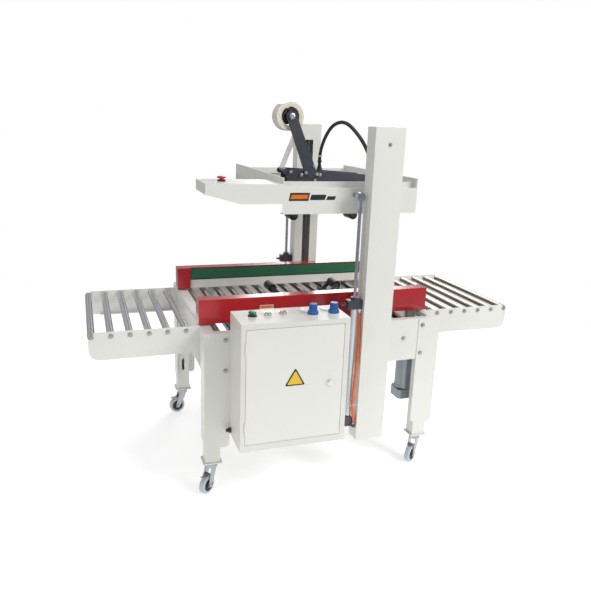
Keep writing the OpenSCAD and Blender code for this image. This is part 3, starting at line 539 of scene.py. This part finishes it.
def undersidePatch(name):
    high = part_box(name)[1]
    return ((-9, -9, -9), (9, 9, high.z - 0.0985), (0.5, 0.51, 0.52), 0.9, 0.35)


bodyLow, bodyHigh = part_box("body_frame")
bedLow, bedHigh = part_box("bed_rollers")
# painted shade: the body's inner faces below the bed rollers are painted near black for the shade inside the
# machine, not a finish of their own
paintedShadeInside = ((bodyLow.x + 0.02, bedLow.y + 0.004, -9),
               (bodyHigh.x - 0.02, bedHigh.y - 0.004, bedHigh.z - 0.018),
               (0.040, 0.040, 0.038), 0.0, 0.5)
bedEnds = [((-9, bedLow.y - 0.01, -9), (9, bedLow.y + 0.010, 9), (0.70, 0.54, 0.22), 0.0, 0.4),
           ((-9, bedHigh.y - 0.010, -9), (9, bedHigh.y + 0.01, 9), (0.70, 0.54, 0.22), 0.0, 0.4)]
bodyPaint = paintMaterial("bodyPaint", creamLook, [paintedShadeInside])
legPaint = paintMaterial("legPaint", creamLook)
tablePaint = paintMaterial("tablePaint", dict(creamLook, tone=0.03))
columnPaint = paintMaterial("columnPaint", dict(creamLook, foot=0.4))
boxPaint = paintMaterial("boxPaint", dict(creamLook, color=(0.70, 0.69, 0.65), tone=0.015), boxPatches)
doorPaint = paintMaterial("doorPaint", dict(creamLook, tone=0.015), [lockPatch])
carriagePaint = paintMaterial("carriagePaint", creamLook, [estopPatch])
nearRed = paintMaterial("nearRed", redLook, [stripPatch("near_guide", -1), undersidePatch("near_guide")])
farRed = paintMaterial("farRed", redLook, [stripPatch("far_guide", 1), undersidePatch("far_guide")])
headBlack = paintMaterial("headBlack", blackLook)
cylinderBlack = paintMaterial("cylinderBlack", dict(blackLook, rough=0.4), [tubePatch])
# painted reflections: dark and brown streaks stand in for the surroundings mirrored in the infeed rollers
rollerReflections = [(-0.97, 0.16, (0.10, 0.07, 0.06), 0.95), (0.05, 0.16, (0.24, 0.11, 0.07), 0.95),
               (0.80, 0.35, (0.07, 0.05, 0.04), 0.95)]
rollerLook = dict(chromeLook, color=(0.74, 0.74, 0.80), metal=0.72, spread=0.03, bump=0.000006, grime=0.2,
                  rough=0.2,
                  smudge=0.04)
chromeRoller = metalMaterial("chromeRoller", dict(rollerLook, bands=rollerReflections))
# painted reflections in brown and dark for the outfeed rollers
brownReflections = [(-0.95, 0.20, (0.13, 0.08, 0.05), 0.95), (0.0, 0.30, (0.32, 0.20, 0.12), 0.9), rollerReflections[2]]
brownReflectRoller = metalMaterial("brownReflectRoller",
                            dict(rollerLook, color=(0.76, 0.74, 0.70), bands=brownReflections, grime=0.5))
# painted shade and reflections: wide near-black streaks darken the bed rollers where shade falls between them
# inside the machine
bedShadeBands = [(-0.90, 0.45, (0.015, 0.017, 0.014), 1.0), (0.10, 0.22, (0.05, 0.045, 0.035), 0.95),
            (0.80, 0.50, (0.015, 0.016, 0.014), 1.0)]
bedChrome = metalMaterial("bedChrome", dict(rollerLook, color=(0.66, 0.67, 0.66), grime=0.5, rough=0.18,
                                            bands=bedShadeBands), bedEnds)
zincHardware = metalMaterial("zincHardware", zincLook)
pistonChrome = metalMaterial("pistonChrome", dict(chromeLook, color=(0.62, 0.67, 0.74),
                                                  stretch=(60.0, 60.0, 700.0), rough=0.1, grime=0.1))
motorGrey = metalMaterial("motorGrey", dict(zincLook, color=(0.30, 0.33, 0.36), metal=0.7, rough=0.34,
                                            stretch=(90.0, 90.0, 500.0), grime=0.4))
forkZinc = metalMaterial("forkZinc", dict(zincLook, foot=0.12, grime=0.5, rough=0.34))
wipeRubber = plasticMaterial("wipeRubber",
                             {"color": (0.012, 0.012, 0.013), "rough": 0.5, "tone": 0.2, "dust": 0.2})
hubPlastic = plasticMaterial("hubPlastic", {"color": (0.014, 0.014, 0.017), "rough": 0.42, "tone": 0.15})
conduitPlastic = plasticMaterial("conduitPlastic",
                                 {"color": (0.013, 0.013, 0.014), "rough": 0.48, "dust": 0.1})
hosePlastic = plasticMaterial("hosePlastic", {"color": (0.72, 0.12, 0.02), "rough": 0.25, "coat": 0.3})
startGreen = plasticMaterial("startGreen", {"color": (0.01, 0.16, 0.06), "rough": 0.25, "coat": 0.3})
keyGreen = plasticMaterial("keyGreen", {"color": (0.02, 0.28, 0.12), "rough": 0.22, "coat": 0.3})
keyRed = plasticMaterial("keyRed", {"color": (0.45, 0.02, 0.02), "rough": 0.22, "coat": 0.3})
stopRed = plasticMaterial("stopRed", {"color": (0.56, 0.012, 0.012), "rough": 0.25, "coat": 0.3})
knobBlue = plasticMaterial("knobBlue", {"color": (0.018, 0.11, 0.37), "rough": 0.3, "coat": 0.2})
ringWhite = plasticMaterial("ringWhite", {"color": (0.8, 0.8, 0.78), "rough": 0.35})
collarBlack = plasticMaterial("collarBlack", {"color": (0.012, 0.012, 0.013), "rough": 0.35})
bearingIvory = plasticMaterial("bearingIvory",
                               {"color": (0.72, 0.57, 0.24), "rough": 0.38, "tone": 0.1, "grime": 0.2})
treadGrey = plasticMaterial("treadGrey", {"color": (0.50, 0.55, 0.60), "rough": 0.5, "grime": 0.35,
                                          "foot": 0.09,
                                          "tone": 0.08, "grain": 500.0, "bump": 0.0003})
coverBlack = plasticMaterial("coverBlack",
                             {"color": (0.03, 0.032, 0.036), "rough": 0.4, "grime": 0.4, "foot": 0.09})
signYellow = plasticMaterial("signYellow", {"color": (0.78, 0.5, 0.02), "rough": 0.35, "dust": 0.0})
signBlack = plasticMaterial("signBlack", {"color": (0.015, 0.015, 0.015), "rough": 0.35})
signOrange = plasticMaterial("signOrange", {"color": (0.75, 0.17, 0.02), "rough": 0.3})
signWhite = plasticMaterial("signWhite", {"color": (0.8, 0.8, 0.8), "rough": 0.3})


def beltMaterial():
    look = {"color": (0.014, 0.118, 0.056), "ribPitch": 0.0022, "rough": 0.55}
    material, tree, shader = startMaterial("beltGreen")
    tone = placeGroup(tree, usedTone, Color=look["color"], Grime_Color=(0.05, 0.09, 0.07), Tone=0.12,
                      Grime=0.5,
                      Dust=0.1, Foot_Height=0.01)
    point = objectPoint(tree)
    weave = tree.nodes.new("ShaderNodeTexWave")
    weave.wave_type = "BANDS"
    weave.bands_direction = "X"
    weave.inputs["Scale"].default_value = 1 / look["ribPitch"] / 20
    weave.inputs["Distortion"].default_value = 0.4
    cross = tree.nodes.new("ShaderNodeTexWave")
    cross.wave_type = "BANDS"
    cross.bands_direction = "Z"
    cross.inputs["Scale"].default_value = 1 / look["ribPitch"] / 14
    tree.links.new(point, weave.inputs["Vector"])
    tree.links.new(point, cross.inputs["Vector"])
    height = addMath(tree, "ADD", addMath(tree, "MULTIPLY", weave.outputs["Fac"], 0.6),
                     addMath(tree, "MULTIPLY", cross.outputs["Fac"], 0.4))
    streak = addRange(tree, addNoise(tree, addVector(tree, "MULTIPLY", point, (1.5, 1.0, 120.0)), 1.0, 4.0),
                      0.4, 0.75)
    color = addMix(tree, addMath(tree, "MULTIPLY", streak, 0.35), tone.outputs["Color"], (0.045, 0.19, 0.115))
    tree.links.new(color, shader.inputs["Base Color"])
    tree.links.new(addRange(tree, streak, 0.0, 1.0, look["rough"], look["rough"] - 0.15, False),
                   shader.inputs["Roughness"])
    addBump(tree, shader, height, 0.0003, 0.7)
    return material


def tapeMaterial():
    # wound clear tape: fine rings on the side faces, a paper core inside
    reelLow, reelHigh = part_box("tape_roll")
    centre = ((reelLow.x + reelHigh.x) / 2, 0.0, (reelLow.z + reelHigh.z) / 2)
    material, tree, shader = startMaterial("woundTape")
    point = addVector(tree, "SUBTRACT", objectPoint(tree), centre)
    flat = addVector(tree, "MULTIPLY", point, (1.0, 0.0, 1.0))
    radius = addVector(tree, "LENGTH", flat, None, "Value")
    combine = tree.nodes.new("ShaderNodeCombineXYZ")
    tree.links.new(radius, combine.inputs[0])
    rings = addNoise(tree, combine.outputs[0], 280.0, 2.0, 0.5)
    clear = addMix(tree, addRange(tree, rings, 0.35, 0.65), (0.76, 0.71, 0.60), (0.83, 0.80, 0.71))
    edge = addRange(tree, radius, 0.050, 0.058)
    clear = addMix(tree, addMath(tree, "MULTIPLY", edge, 0.6), clear, (0.83, 0.83, 0.80))
    core = addRange(tree, radius, 0.0415, 0.0405)
    color = addMix(tree, core, clear, (0.66, 0.55, 0.40))
    tree.links.new(color, shader.inputs["Base Color"])
    tree.links.new(addRange(tree, core, 0.0, 1.0, 0.16, 0.7, False), shader.inputs["Roughness"])
    shader.inputs["Subsurface Weight"].default_value = 0.35
    shader.inputs["Subsurface Radius"].default_value = (0.02, 0.018, 0.014)
    shader.inputs["Subsurface Scale"].default_value = 0.4
    shader.inputs["Coat Weight"].default_value = 0.5
    shader.inputs["Coat Roughness"].default_value = 0.06
    addBump(tree, shader, rings, 0.00015)
    return material


def filmMaterial():
    material, tree, shader = startMaterial("clearFilm")
    point = objectPoint(tree)
    wrinkle = addNoise(tree, addVector(tree, "MULTIPLY", point, (3.0, 26.0, 5.0)), 1.0, 3.0)
    shader.inputs["Roughness"].default_value = 0.12
    shader.inputs["Transmission Weight"].default_value = 0.0
    tree.links.new(addMix(tree, addRange(tree, wrinkle, 0.35, 0.65), (0.72, 0.55, 0.50), (0.92, 0.88, 0.86)),
                   shader.inputs["Base Color"])
    tree.links.new(addRange(tree, wrinkle, 0.3, 0.7, 0.38, 0.72), shader.inputs["Alpha"])
    addBump(tree, shader, wrinkle, 0.001, 0.6)
    return material


beltGreen = beltMaterial()
woundTape = tapeMaterial()
clearFilm = filmMaterial()

nodeMaterials = {
    "body_frame": bodyPaint, "table_frames": tablePaint, "legs": legPaint, "columns": columnPaint,
    "frame_hardware": zincHardware, "cylinders": cylinderBlack, "air_hose": hosePlastic,
    "bed_rollers": bedChrome, "lower_head": headBlack, "control_box": boxPaint, "door": doorPaint,
    "carriage_frame": carriagePaint, "upper_head": headBlack, "piston_rods": pistonChrome,
    "conduit": conduitPlastic, "tape_roll": woundTape, "reel_hub": hubPlastic, "tape_web": clearFilm,
    "near_guide": nearRed, "far_guide": farRed, "near_belt": beltGreen, "far_belt": beltGreen,
    "near_motor": motorGrey, "far_motor": motorGrey, "near_pulley": zincHardware, "far_pulley": zincHardware,
    "start_button": startGreen, "green_button": keyGreen, "red_button": keyRed, "stop_button": stopRed,
    "left_regulator": knobBlue, "right_regulator": knobBlue,
}


def materialFor(name):
    if name in nodeMaterials:
        return nodeMaterials[name]
    if name.endswith("_arm"):
        return headBlack
    if name.startswith(("upper_", "lower_")):
        return wipeRubber
    if name.startswith("fork_"):
        return forkZinc
    if name.startswith("wheel_"):
        return treadGrey
    return brownReflectRoller if name.startswith("outfeed") else chromeRoller


def smoothByAngle(mesh, degrees=32):
    mesh.polygons.foreach_set("use_smooth", [True] * len(mesh.polygons))
    mesh.set_sharp_from_angle(angle=math.radians(degrees))


bevelLook = {"sheet": 0.0008, "fine": 0.0004}
fineNodes = ("tape_roll", "reel_hub", "left_regulator", "right_regulator")
for name, part in cadNodes.items():
    for index in range(max(1, len(part.material_slots))):
        if len(part.material_slots) <= index:
            part.data.materials.append(materialFor(name))
        else:
            part.material_slots[index].material = materialFor(name)
    smoothByAngle(part.data)
    if name in ("conduit", "air_hose", "tape_web"):
        continue
    bevel = part.modifiers.new("softEdge", "BEVEL")
    bevel.width = bevelLook["fine"] if name in fineNodes else bevelLook["sheet"]
    bevel.segments = 2
    bevel.limit_method = "ANGLE"
    bevel.angle_limit = math.radians(38)
    bevel.harden_normals = False
print("stage: CAD pieces finished")

# ---------- mesh makers


def newPiece(name, bm, material, body, smooth=True):
    mesh = bpy.data.meshes.new(name)
    bmesh.ops.recalc_face_normals(bm, faces=bm.faces)
    bm.to_mesh(mesh)
    bm.free()
    piece = bpy.data.objects.new(name, mesh)
    scene.collection.objects.link(piece)
    mesh.materials.append(material)
    if smooth:
        smoothByAngle(mesh)
    if body:
        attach(piece, body)
    return piece


def axisBasis(axis):
    axis = Vector(axis).normalized()
    side = axis.orthogonal().normalized()
    return side, axis.cross(side), axis


def addLathe(bm, profile, centre, axis, steps=48, wave=None):
    # profile: (radius, distance along the axis); wave(angle, index) scales a ring's radius
    side, up, along = axisBasis(axis)
    rings = []
    for ringIndex, (radius, offset) in enumerate(profile):
        ring = []
        for k in range(steps):
            a = 2 * math.pi * k / steps
            r = radius * (wave(a, ringIndex) if wave else 1.0)
            ray = side * math.cos(a) + up * math.sin(a)
            ring.append(bm.verts.new(Vector(centre) + along * offset + ray * r))
        rings.append(ring)
    for one, two in zip(rings, rings[1:]):
        for k in range(steps):
            bm.faces.new((one[k], one[(k + 1) % steps], two[(k + 1) % steps], two[k]))
    for ring in (rings[0], rings[-1]):
        bm.faces.new(ring)
    return rings


def addRing(bm, profile, centre, axis, steps=48):
    # a closed profile round the axis, so the ring has a hole through it
    side, up, along = axisBasis(axis)
    rings = []
    for radius, offset in profile:
        ring = []
        for k in range(steps):
            a = 2 * math.pi * k / steps
            ray = side * math.cos(a) + up * math.sin(a)
            ring.append(bm.verts.new(Vector(centre) + along * offset + ray * radius))
        rings.append(ring)
    for one, two in zip(rings, rings[1:] + rings[:1]):
        for k in range(steps):
            bm.faces.new((one[k], one[(k + 1) % steps], two[(k + 1) % steps], two[k]))


def smoothPath(points, steps):
    path = []
    pts = [Vector(p) for p in points]
    for i in range(len(pts) - 1):
        a, b = pts[max(0, i - 1)], pts[i]
        c, d = pts[i + 1], pts[min(len(pts) - 1, i + 2)]
        for k in range(steps):
            t = k / steps
            path.append(0.5 * (2 * b + (c - a) * t + (2 * a - 5 * b + 4 * c - d) * t * t
                               + (3 * b - a - 3 * c + d) * t ** 3))
    path.append(pts[-1])
    return path


def evenPath(path, step):
    lengths = [0.0]
    for a, b in zip(path, path[1:]):
        lengths.append(lengths[-1] + (b - a).length)
    count = max(2, int(lengths[-1] / step))
    out, j = [], 0
    for i in range(count + 1):
        s = lengths[-1] * i / count
        while j < len(lengths) - 2 and lengths[j + 1] < s:
            j += 1
        t = (s - lengths[j]) / max(1e-9, lengths[j + 1] - lengths[j])
        out.append(path[j].lerp(path[j + 1], t))
    return out


def addTube(bm, path, radius, sides=16):
    # radius: a number, or a function of the ring's index
    normal = None
    rings = []
    for i, point in enumerate(path):
        ahead = (path[min(len(path) - 1, i + 1)] - path[max(0, i - 1)]).normalized()
        if normal is None:
            normal = ahead.orthogonal().normalized()
        normal = (normal - ahead * normal.dot(ahead)).normalized()
        other = ahead.cross(normal)
        r = radius(i) if callable(radius) else radius
        rings.append([bm.verts.new(point + (normal * math.cos(2 * math.pi * k / sides)
                                            + other * math.sin(2 * math.pi * k / sides)) * r)
                      for k in range(sides)])
    for one, two in zip(rings, rings[1:]):
        for k in range(sides):
            bm.faces.new((one[k], one[(k + 1) % sides], two[(k + 1) % sides], two[k]))
    bm.faces.new(rings[0])
    bm.faces.new(rings[-1])


def addPlate(bm, corners, lift):
    # corners: points in a plane; lift: the thickness as a vector
    low = [bm.verts.new(Vector(c)) for c in corners]
    high = [bm.verts.new(Vector(c) + Vector(lift)) for c in corners]
    bm.faces.new(low)
    bm.faces.new(high)
    n = len(low)
    for k in range(n):
        bm.faces.new((low[k], low[(k + 1) % n], high[(k + 1) % n], high[k]))


def roundedOutline(points, radius, steps=5):
    out = []
    count = len(points)
    for i, corner in enumerate(points):
        p = Vector(corner)
        before = (Vector(points[i - 1]) - p).normalized()
        after = (Vector(points[(i + 1) % count]) - p).normalized()
        half = before.angle(after) / 2
        cut = min(radius / math.tan(half), 0.45 * (Vector(points[i - 1]) - p).length,
                  0.45 * (Vector(points[(i + 1) % count]) - p).length)
        a, b = p + before * cut, p + after * cut
        for k in range(steps + 1):
            t = k / steps
            out.append((1 - t) ** 2 * a + 2 * t * (1 - t) * p + t * t * b)
    return out


def mm(x, y, z):
    return Vector((x / 1000, y / 1000 + shiftY, z / 1000))


# ---------- flexible runs

conduitLook = {"radius": 0.0066, "rib": 0.0007, "pitch": 0.0042, "sides": 20}
conduitPath = [(80, 0, 1264), (80, 0, 1314), (84, -10, 1358), (90, -40, 1404), (97, -90, 1442),
               (104, -160, 1458),
               (110, -230, 1448), (118, -300, 1414), (126, -345, 1380), (134, -374, 1344), (140, -388, 1310),
               (140, -388, 1290)]


def makeConduit(look):
    path = evenPath(smoothPath([mm(*p) for p in conduitPath], 10), look["pitch"] / 4)
    bm = bmesh.new()
    addTube(bm, path, lambda i: look["radius"] + (look["rib"] if i % 4 in (1, 2) else 0.0), look["sides"])
    piece = newPiece("conduitRibbed", bm, conduitPlastic, None)
    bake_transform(piece)
    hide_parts("conduit")
    bm = bmesh.new()
    for along in (4, 26):
        spot = path[along]
        addRing(bm, [(0.0068, -0.003), (0.0096, -0.003), (0.0100, 0.0), (0.0096, 0.003), (0.0068, 0.003)],
                spot,
                path[along + 1] - spot, 24)
    newPiece("conduitGland", bm, collarBlack, "carriage")
    bm = bmesh.new()
    spot = path[int(len(path) * 0.085)]
    addRing(bm, [(0.0070, -0.002), (0.0088, -0.002), (0.0088, 0.002), (0.0070, 0.002)], spot, (0, 0, 1), 24)
    addPlate(bm, [spot + Vector(v) for v in ((0.008, -0.003, -0.002), (0.014, -0.003, -0.002),
                                             (0.014, -0.003, 0.003),
                                             (0.008, -0.003, 0.003))], (0, 0.005, 0))
    newPiece("conduitTie", bm, ringWhite, "carriage")


hoseLook = {"radius": 0.0060, "step": 0.006, "sides": 20, "tieAt": 0.80}
hosePath = [(104, -447.5, 742), (104, -447.5, 724), (104, -450.5, 690), (105, -454.5, 632),
            (102, -458.5, 542),
            (97, -460.5, 452), (93, -460.5, 372), (94, -460.5, 332), (101, -458.5, 296), (105, -455.5, 272),
            (105, -455.5, 258)]


def makeHose(look):
    path = evenPath(smoothPath([mm(*p) for p in hosePath], 8), look["step"])
    bm = bmesh.new()
    addTube(bm, path, look["radius"], look["sides"])
    piece = newPiece("airHoseTube", bm, hosePlastic, "frame")
    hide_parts("air_hose")
    bm = bmesh.new()
    spot = path[int(len(path) * look["tieAt"])]
    centre = (spot + mm(84, -438.5, 0)) / 2
    centre.z = spot.z
    reach = (spot - centre).length + 0.018
    outline = [centre + Vector((math.cos(a) * reach, math.sin(a) * reach, 0)) for a in
               [2 * math.pi * k / 36 for k in range(36)]]
    addTube(bm, outline + outline[:1], 0.0009, 6)
    newPiece("hoseTie", bm, ringWhite, "frame")
    bm = bmesh.new()
    for x, y, z, up in ((104, -447.5, 742, 1), (105, -455.5, 258, -1)):
        addRing(bm, [(0.0061, -0.0055), (0.0072, -0.0055), (0.0077, -0.0046), (0.0077, -0.0003),
                     (0.0061, -0.0003)],
                mm(x, y, z), (0, 0, up), 32)
    newPiece("hoseCollars", bm, zincHardware, "frame")


makeConduit(conduitLook)
makeHose(hoseLook)
print("stage: conduit and hose")

# ---------- tables, rollers and casters

bearingLook = {"outer": 0.0122, "inner": 0.0064, "lip": 0.0006}


def makeBearings(look):
    for side in ("infeed", "outfeed"):
        for i in range(6):
            name = f"{side}_roller_{i + 1}"
            low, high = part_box(name)
            centre = (low + high) / 2
            bm = bmesh.new()
            for end in (-1, 1):
                face = centre.y + end * (high.y - low.y) / 2 - end * 0.0022
                spot = Vector((centre.x, face, centre.z))
                addRing(bm, [(look["inner"], -0.002), (look["outer"], -0.002), (look["outer"], 0.0),
                             (0.0108, look["lip"]), (0.0095, 0.0002), (0.0084, 0.0002), (0.0082, 0.0014),
                             (look["inner"], 0.0014)], spot, (0, end, 0), 32)
            newPiece(f"{name}.bearings", bm, bearingIvory, name)


def makeBolts(name, spots, axis, body, radius=0.0060, height=0.0036, material=zincHardware):
    # button heads with a hex socket
    bm = bmesh.new()
    for spot in spots:
        addLathe(bm, [(radius * 1.25, 0.0), (radius * 1.25, 0.0008), (radius * 1.0, 0.0010),
                      (radius * 1.0, height * 0.5),
                      (radius * 0.86, height * 0.85), (radius * 0.6, height), (radius * 0.46, height),
                      (radius * 0.42, height * 0.45)], spot, axis, 24)
    return newPiece(name, bm, material, body)


wheelLook = {"tread": 0.0375, "half": 0.012, "groove": 0.0009, "hub": 0.026}


def makeWheels(look):
    for letter in "abcd":
        node = f"wheel_{letter}"
        joint = [j for j in frame["joints"] if j["name"] == f"caster_{letter}_roll"][0]
        centre, axis = Vector(joint["pos_m"]), Vector(joint["axis"])
        r, h, g = look["tread"], look["half"], look["groove"]
        bm = bmesh.new()
        addRing(bm, [(look["hub"], -h + 0.001), (r - 0.004, -h), (r - 0.0012, -h + 0.0014), (r, -h + 0.0045),
                     (r, -0.0012), (r - g, -0.0008), (r - g, 0.0008), (r, 0.0012), (r, h - 0.0045),
                     (r - 0.0012, h - 0.0014), (r - 0.004, h), (look["hub"], h - 0.001)], centre, axis, 72)
        tyre = newPiece(f"casterTyre.{letter}", bm, treadGrey, node)
        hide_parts(node)
        bm = bmesh.new()
        for end in (-1, 1):
            addRing(bm, [(0.0051, end * 0.002), (0.0265, end * 0.002), (0.0265, end * (h - 0.0005)),
                         (0.0245, end * (h + 0.0004)), (0.0225, end * (h - 0.0022)),
                         (0.0125, end * (h - 0.0026)),
                         (0.0105, end * (h + 0.0006)), (0.0051, end * (h + 0.0010))], centre, axis, 48)
            side, up, along = axisBasis(axis)
            for k in range(6):
                a = math.pi * k / 3
                ray = side * math.cos(a) + up * math.sin(a)
                cross = along.cross(ray) * 0.0014
                base = centre + along * end * (h - 0.0028)
                addPlate(bm, [base + ray * 0.0115 - cross, base + ray * 0.0235 - cross,
                              base + ray * 0.0235 + cross,
                              base + ray * 0.0115 + cross], along * end * 0.0022)
        newPiece(f"casterCover.{letter}", bm, coverBlack, node)
        fork = f"fork_{letter}"
        bm = bmesh.new()
        for end in (-1, 1):
            addLathe(bm, [(0.0072, 0.0), (0.0078, 0.0012), (0.0070, 0.0042), (0.0045, 0.0050)],
                     centre + axis * end * (h + 0.0056), axis * end, 6)
        newPiece(f"axleNuts.{letter}", bm, zincHardware, fork)


makeBearings(bearingLook)
makeWheels(wheelLook)
print("stage: rollers and casters")

# ---------- heads

headBoltLook = {"radius": 0.0056, "height": 0.0040, "face": -57.2}
headBoltSpots = [(-70, 132), (-22, 120), (48, 122), (62, 120), (40, 96), (-2, 128), (34, 158)]


def makeHeadDetail(look):
    spots = [mm(x, look["face"], 1118 + z) for x, z in headBoltSpots]
    makeBolts("headBolts", spots, (0, -1, 0), "carriage", look["radius"], look["height"])
    bm = bmesh.new()
    addLathe(bm, [(0.0125, 0.0), (0.0135, 0.0010), (0.0128, 0.0036), (0.0080, 0.0048), (0.0060, 0.0030)],
             mm(-72, -58.0, 1475), (0, -1, 0), 32)
    newPiece("reelScrew", bm, zincHardware, "carriage")


makeHeadDetail(headBoltLook)
print("stage: heads")

# ---------- controls

knobLook = {"ribs": 28, "depth": 0.045}


def makeKnobs(look):
    for name in ("left_regulator", "right_regulator"):
        low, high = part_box(name)
        centre = (low + high) / 2
        base = Vector((centre.x, centre.y, low.z + 0.012))
        profile = [(0.0088, -0.0115), (0.0088, 0.0033), (0.0198, 0.0036), (0.0209, 0.0043), (0.0210, 0.0064),
                   (0.0204, 0.0105), (0.0195, 0.0150), (0.0182, 0.0161), (0.0160, 0.0171), (0.0157, 0.0290),
                   (0.0155, 0.0405), (0.0142, 0.0427), (0.0100, 0.0432), (0.0030, 0.0424)]
        ribbed = (3, 4, 5, 6, 8, 9, 10)

        def wave(angle, index):
            if index not in ribbed:
                return 1.0
            return 1.0 - look["depth"] * (0.5 + 0.5 * math.cos(look["ribs"] * angle))

        bm = bmesh.new()
        addLathe(bm, profile, base, (0, 0, 1), look["ribs"] * 6, wave)
        knob = newPiece(f"{name}.knob", bm, knobBlue, name)
        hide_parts(name)


discLook = {"radius": 0.031, "thick": 0.0024, "back": 0.061}


def makeDiscs(look):
    # flat pale discs on the box's top, one behind each regulator
    for name in ("left_regulator", "right_regulator"):
        low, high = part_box(name)
        r, t = look["radius"], look["thick"]
        bm = bmesh.new()
        addLathe(bm, [(r - 0.0006, 0.0), (r, 0.0006), (r, t - 0.0006), (r - 0.0008, t), (r - 0.0035, t),
                      (r - 0.0045, t - 0.0006), (0.004, t - 0.0006)],
                 Vector(((low.x + high.x) / 2, (low.y + high.y) / 2 + look["back"], low.z + 0.0121)),
                 (0, 0, 1), 64)
        newPiece(f"{name}.disc", bm, ringWhite, "frame")


signLook = {"side": 0.080, "rim": 0.0090, "thick": 0.0006}


def makeSign(look):
    # a plain yellow plate with a dark rim and nothing on it
    low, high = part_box("door")
    x, z = (low.x + high.x) / 2 + 0.002, (low.z + high.z) / 2 + 0.020
    y = high.y - 0.0152
    for name, size, depth, material in (("signRim", look["side"], 0.0, signBlack),
                                        ("signFace", look["side"] - 2 * look["rim"], look["thick"],
                                         signYellow)):
        tall = size * math.sqrt(3) / 2
        corners = [(x - size / 2, y - depth, z - tall / 3), (x + size / 2, y - depth, z - tall / 3),
                   (x, y - depth, z + 2 * tall / 3)]
        bm = bmesh.new()
        addPlate(bm, roundedOutline(corners, size * 0.06), (0, -look["thick"], 0))
        newPiece(name, bm, material, "door")


def slantedPlate(bm, x, z, y, width, height, lean, thick):
    corners = [(x, y, z), (x + width, y, z), (x + width + lean, y, z + height), (x + lean, y, z + height)]
    addPlate(bm, corners, (0, -thick, 0))


badgeLook = {"x": -181.0, "z": 1168.0, "height": 30.0, "lean": 6.0}


def makeBadge(look):
    # plain colour bars on the carriage plate
    y = -375.2
    for name, material, bars in (("badgeDark", signBlack,
                                  [(0, 78, 0, 30), (84, 60, 3, 20), (150, 34, 3, 14)]),
                                 ("badgeOrange", signOrange, [(6, 66, 7, 16)])):
        bm = bmesh.new()
        for x, width, z, height in bars:
            a = mm(look["x"] + x, y - (0.5 if material is signOrange else 0.0), look["z"] + z)
            slantedPlate(bm, a.x, a.z, a.y, width / 1000, height / 1000, look["lean"] / 1000, 0.0005)
        newPiece(name, bm, material, "carriage")
    low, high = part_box("near_guide")
    for name, material, x, z, width, height in (("labelWhite", signWhite, 0.245, -0.068, 0.056, 0.034),
                                                ("labelOrange", signOrange, 0.2475, -0.0475, 0.051, 0.011)):
        bm = bmesh.new()
        lift = 0.0006 if material is signOrange else 0.0002
        slantedPlate(bm, low.x + x, high.z + z, low.y - lift + 0.0002, width, height, 0.0, 0.0004)
        newPiece(name, bm, material, "near_guide")


makeKnobs(knobLook)
makeDiscs(discLook)
makeSign(signLook)
makeBadge(badgeLook)
print("stage: controls")

print("stage: done")
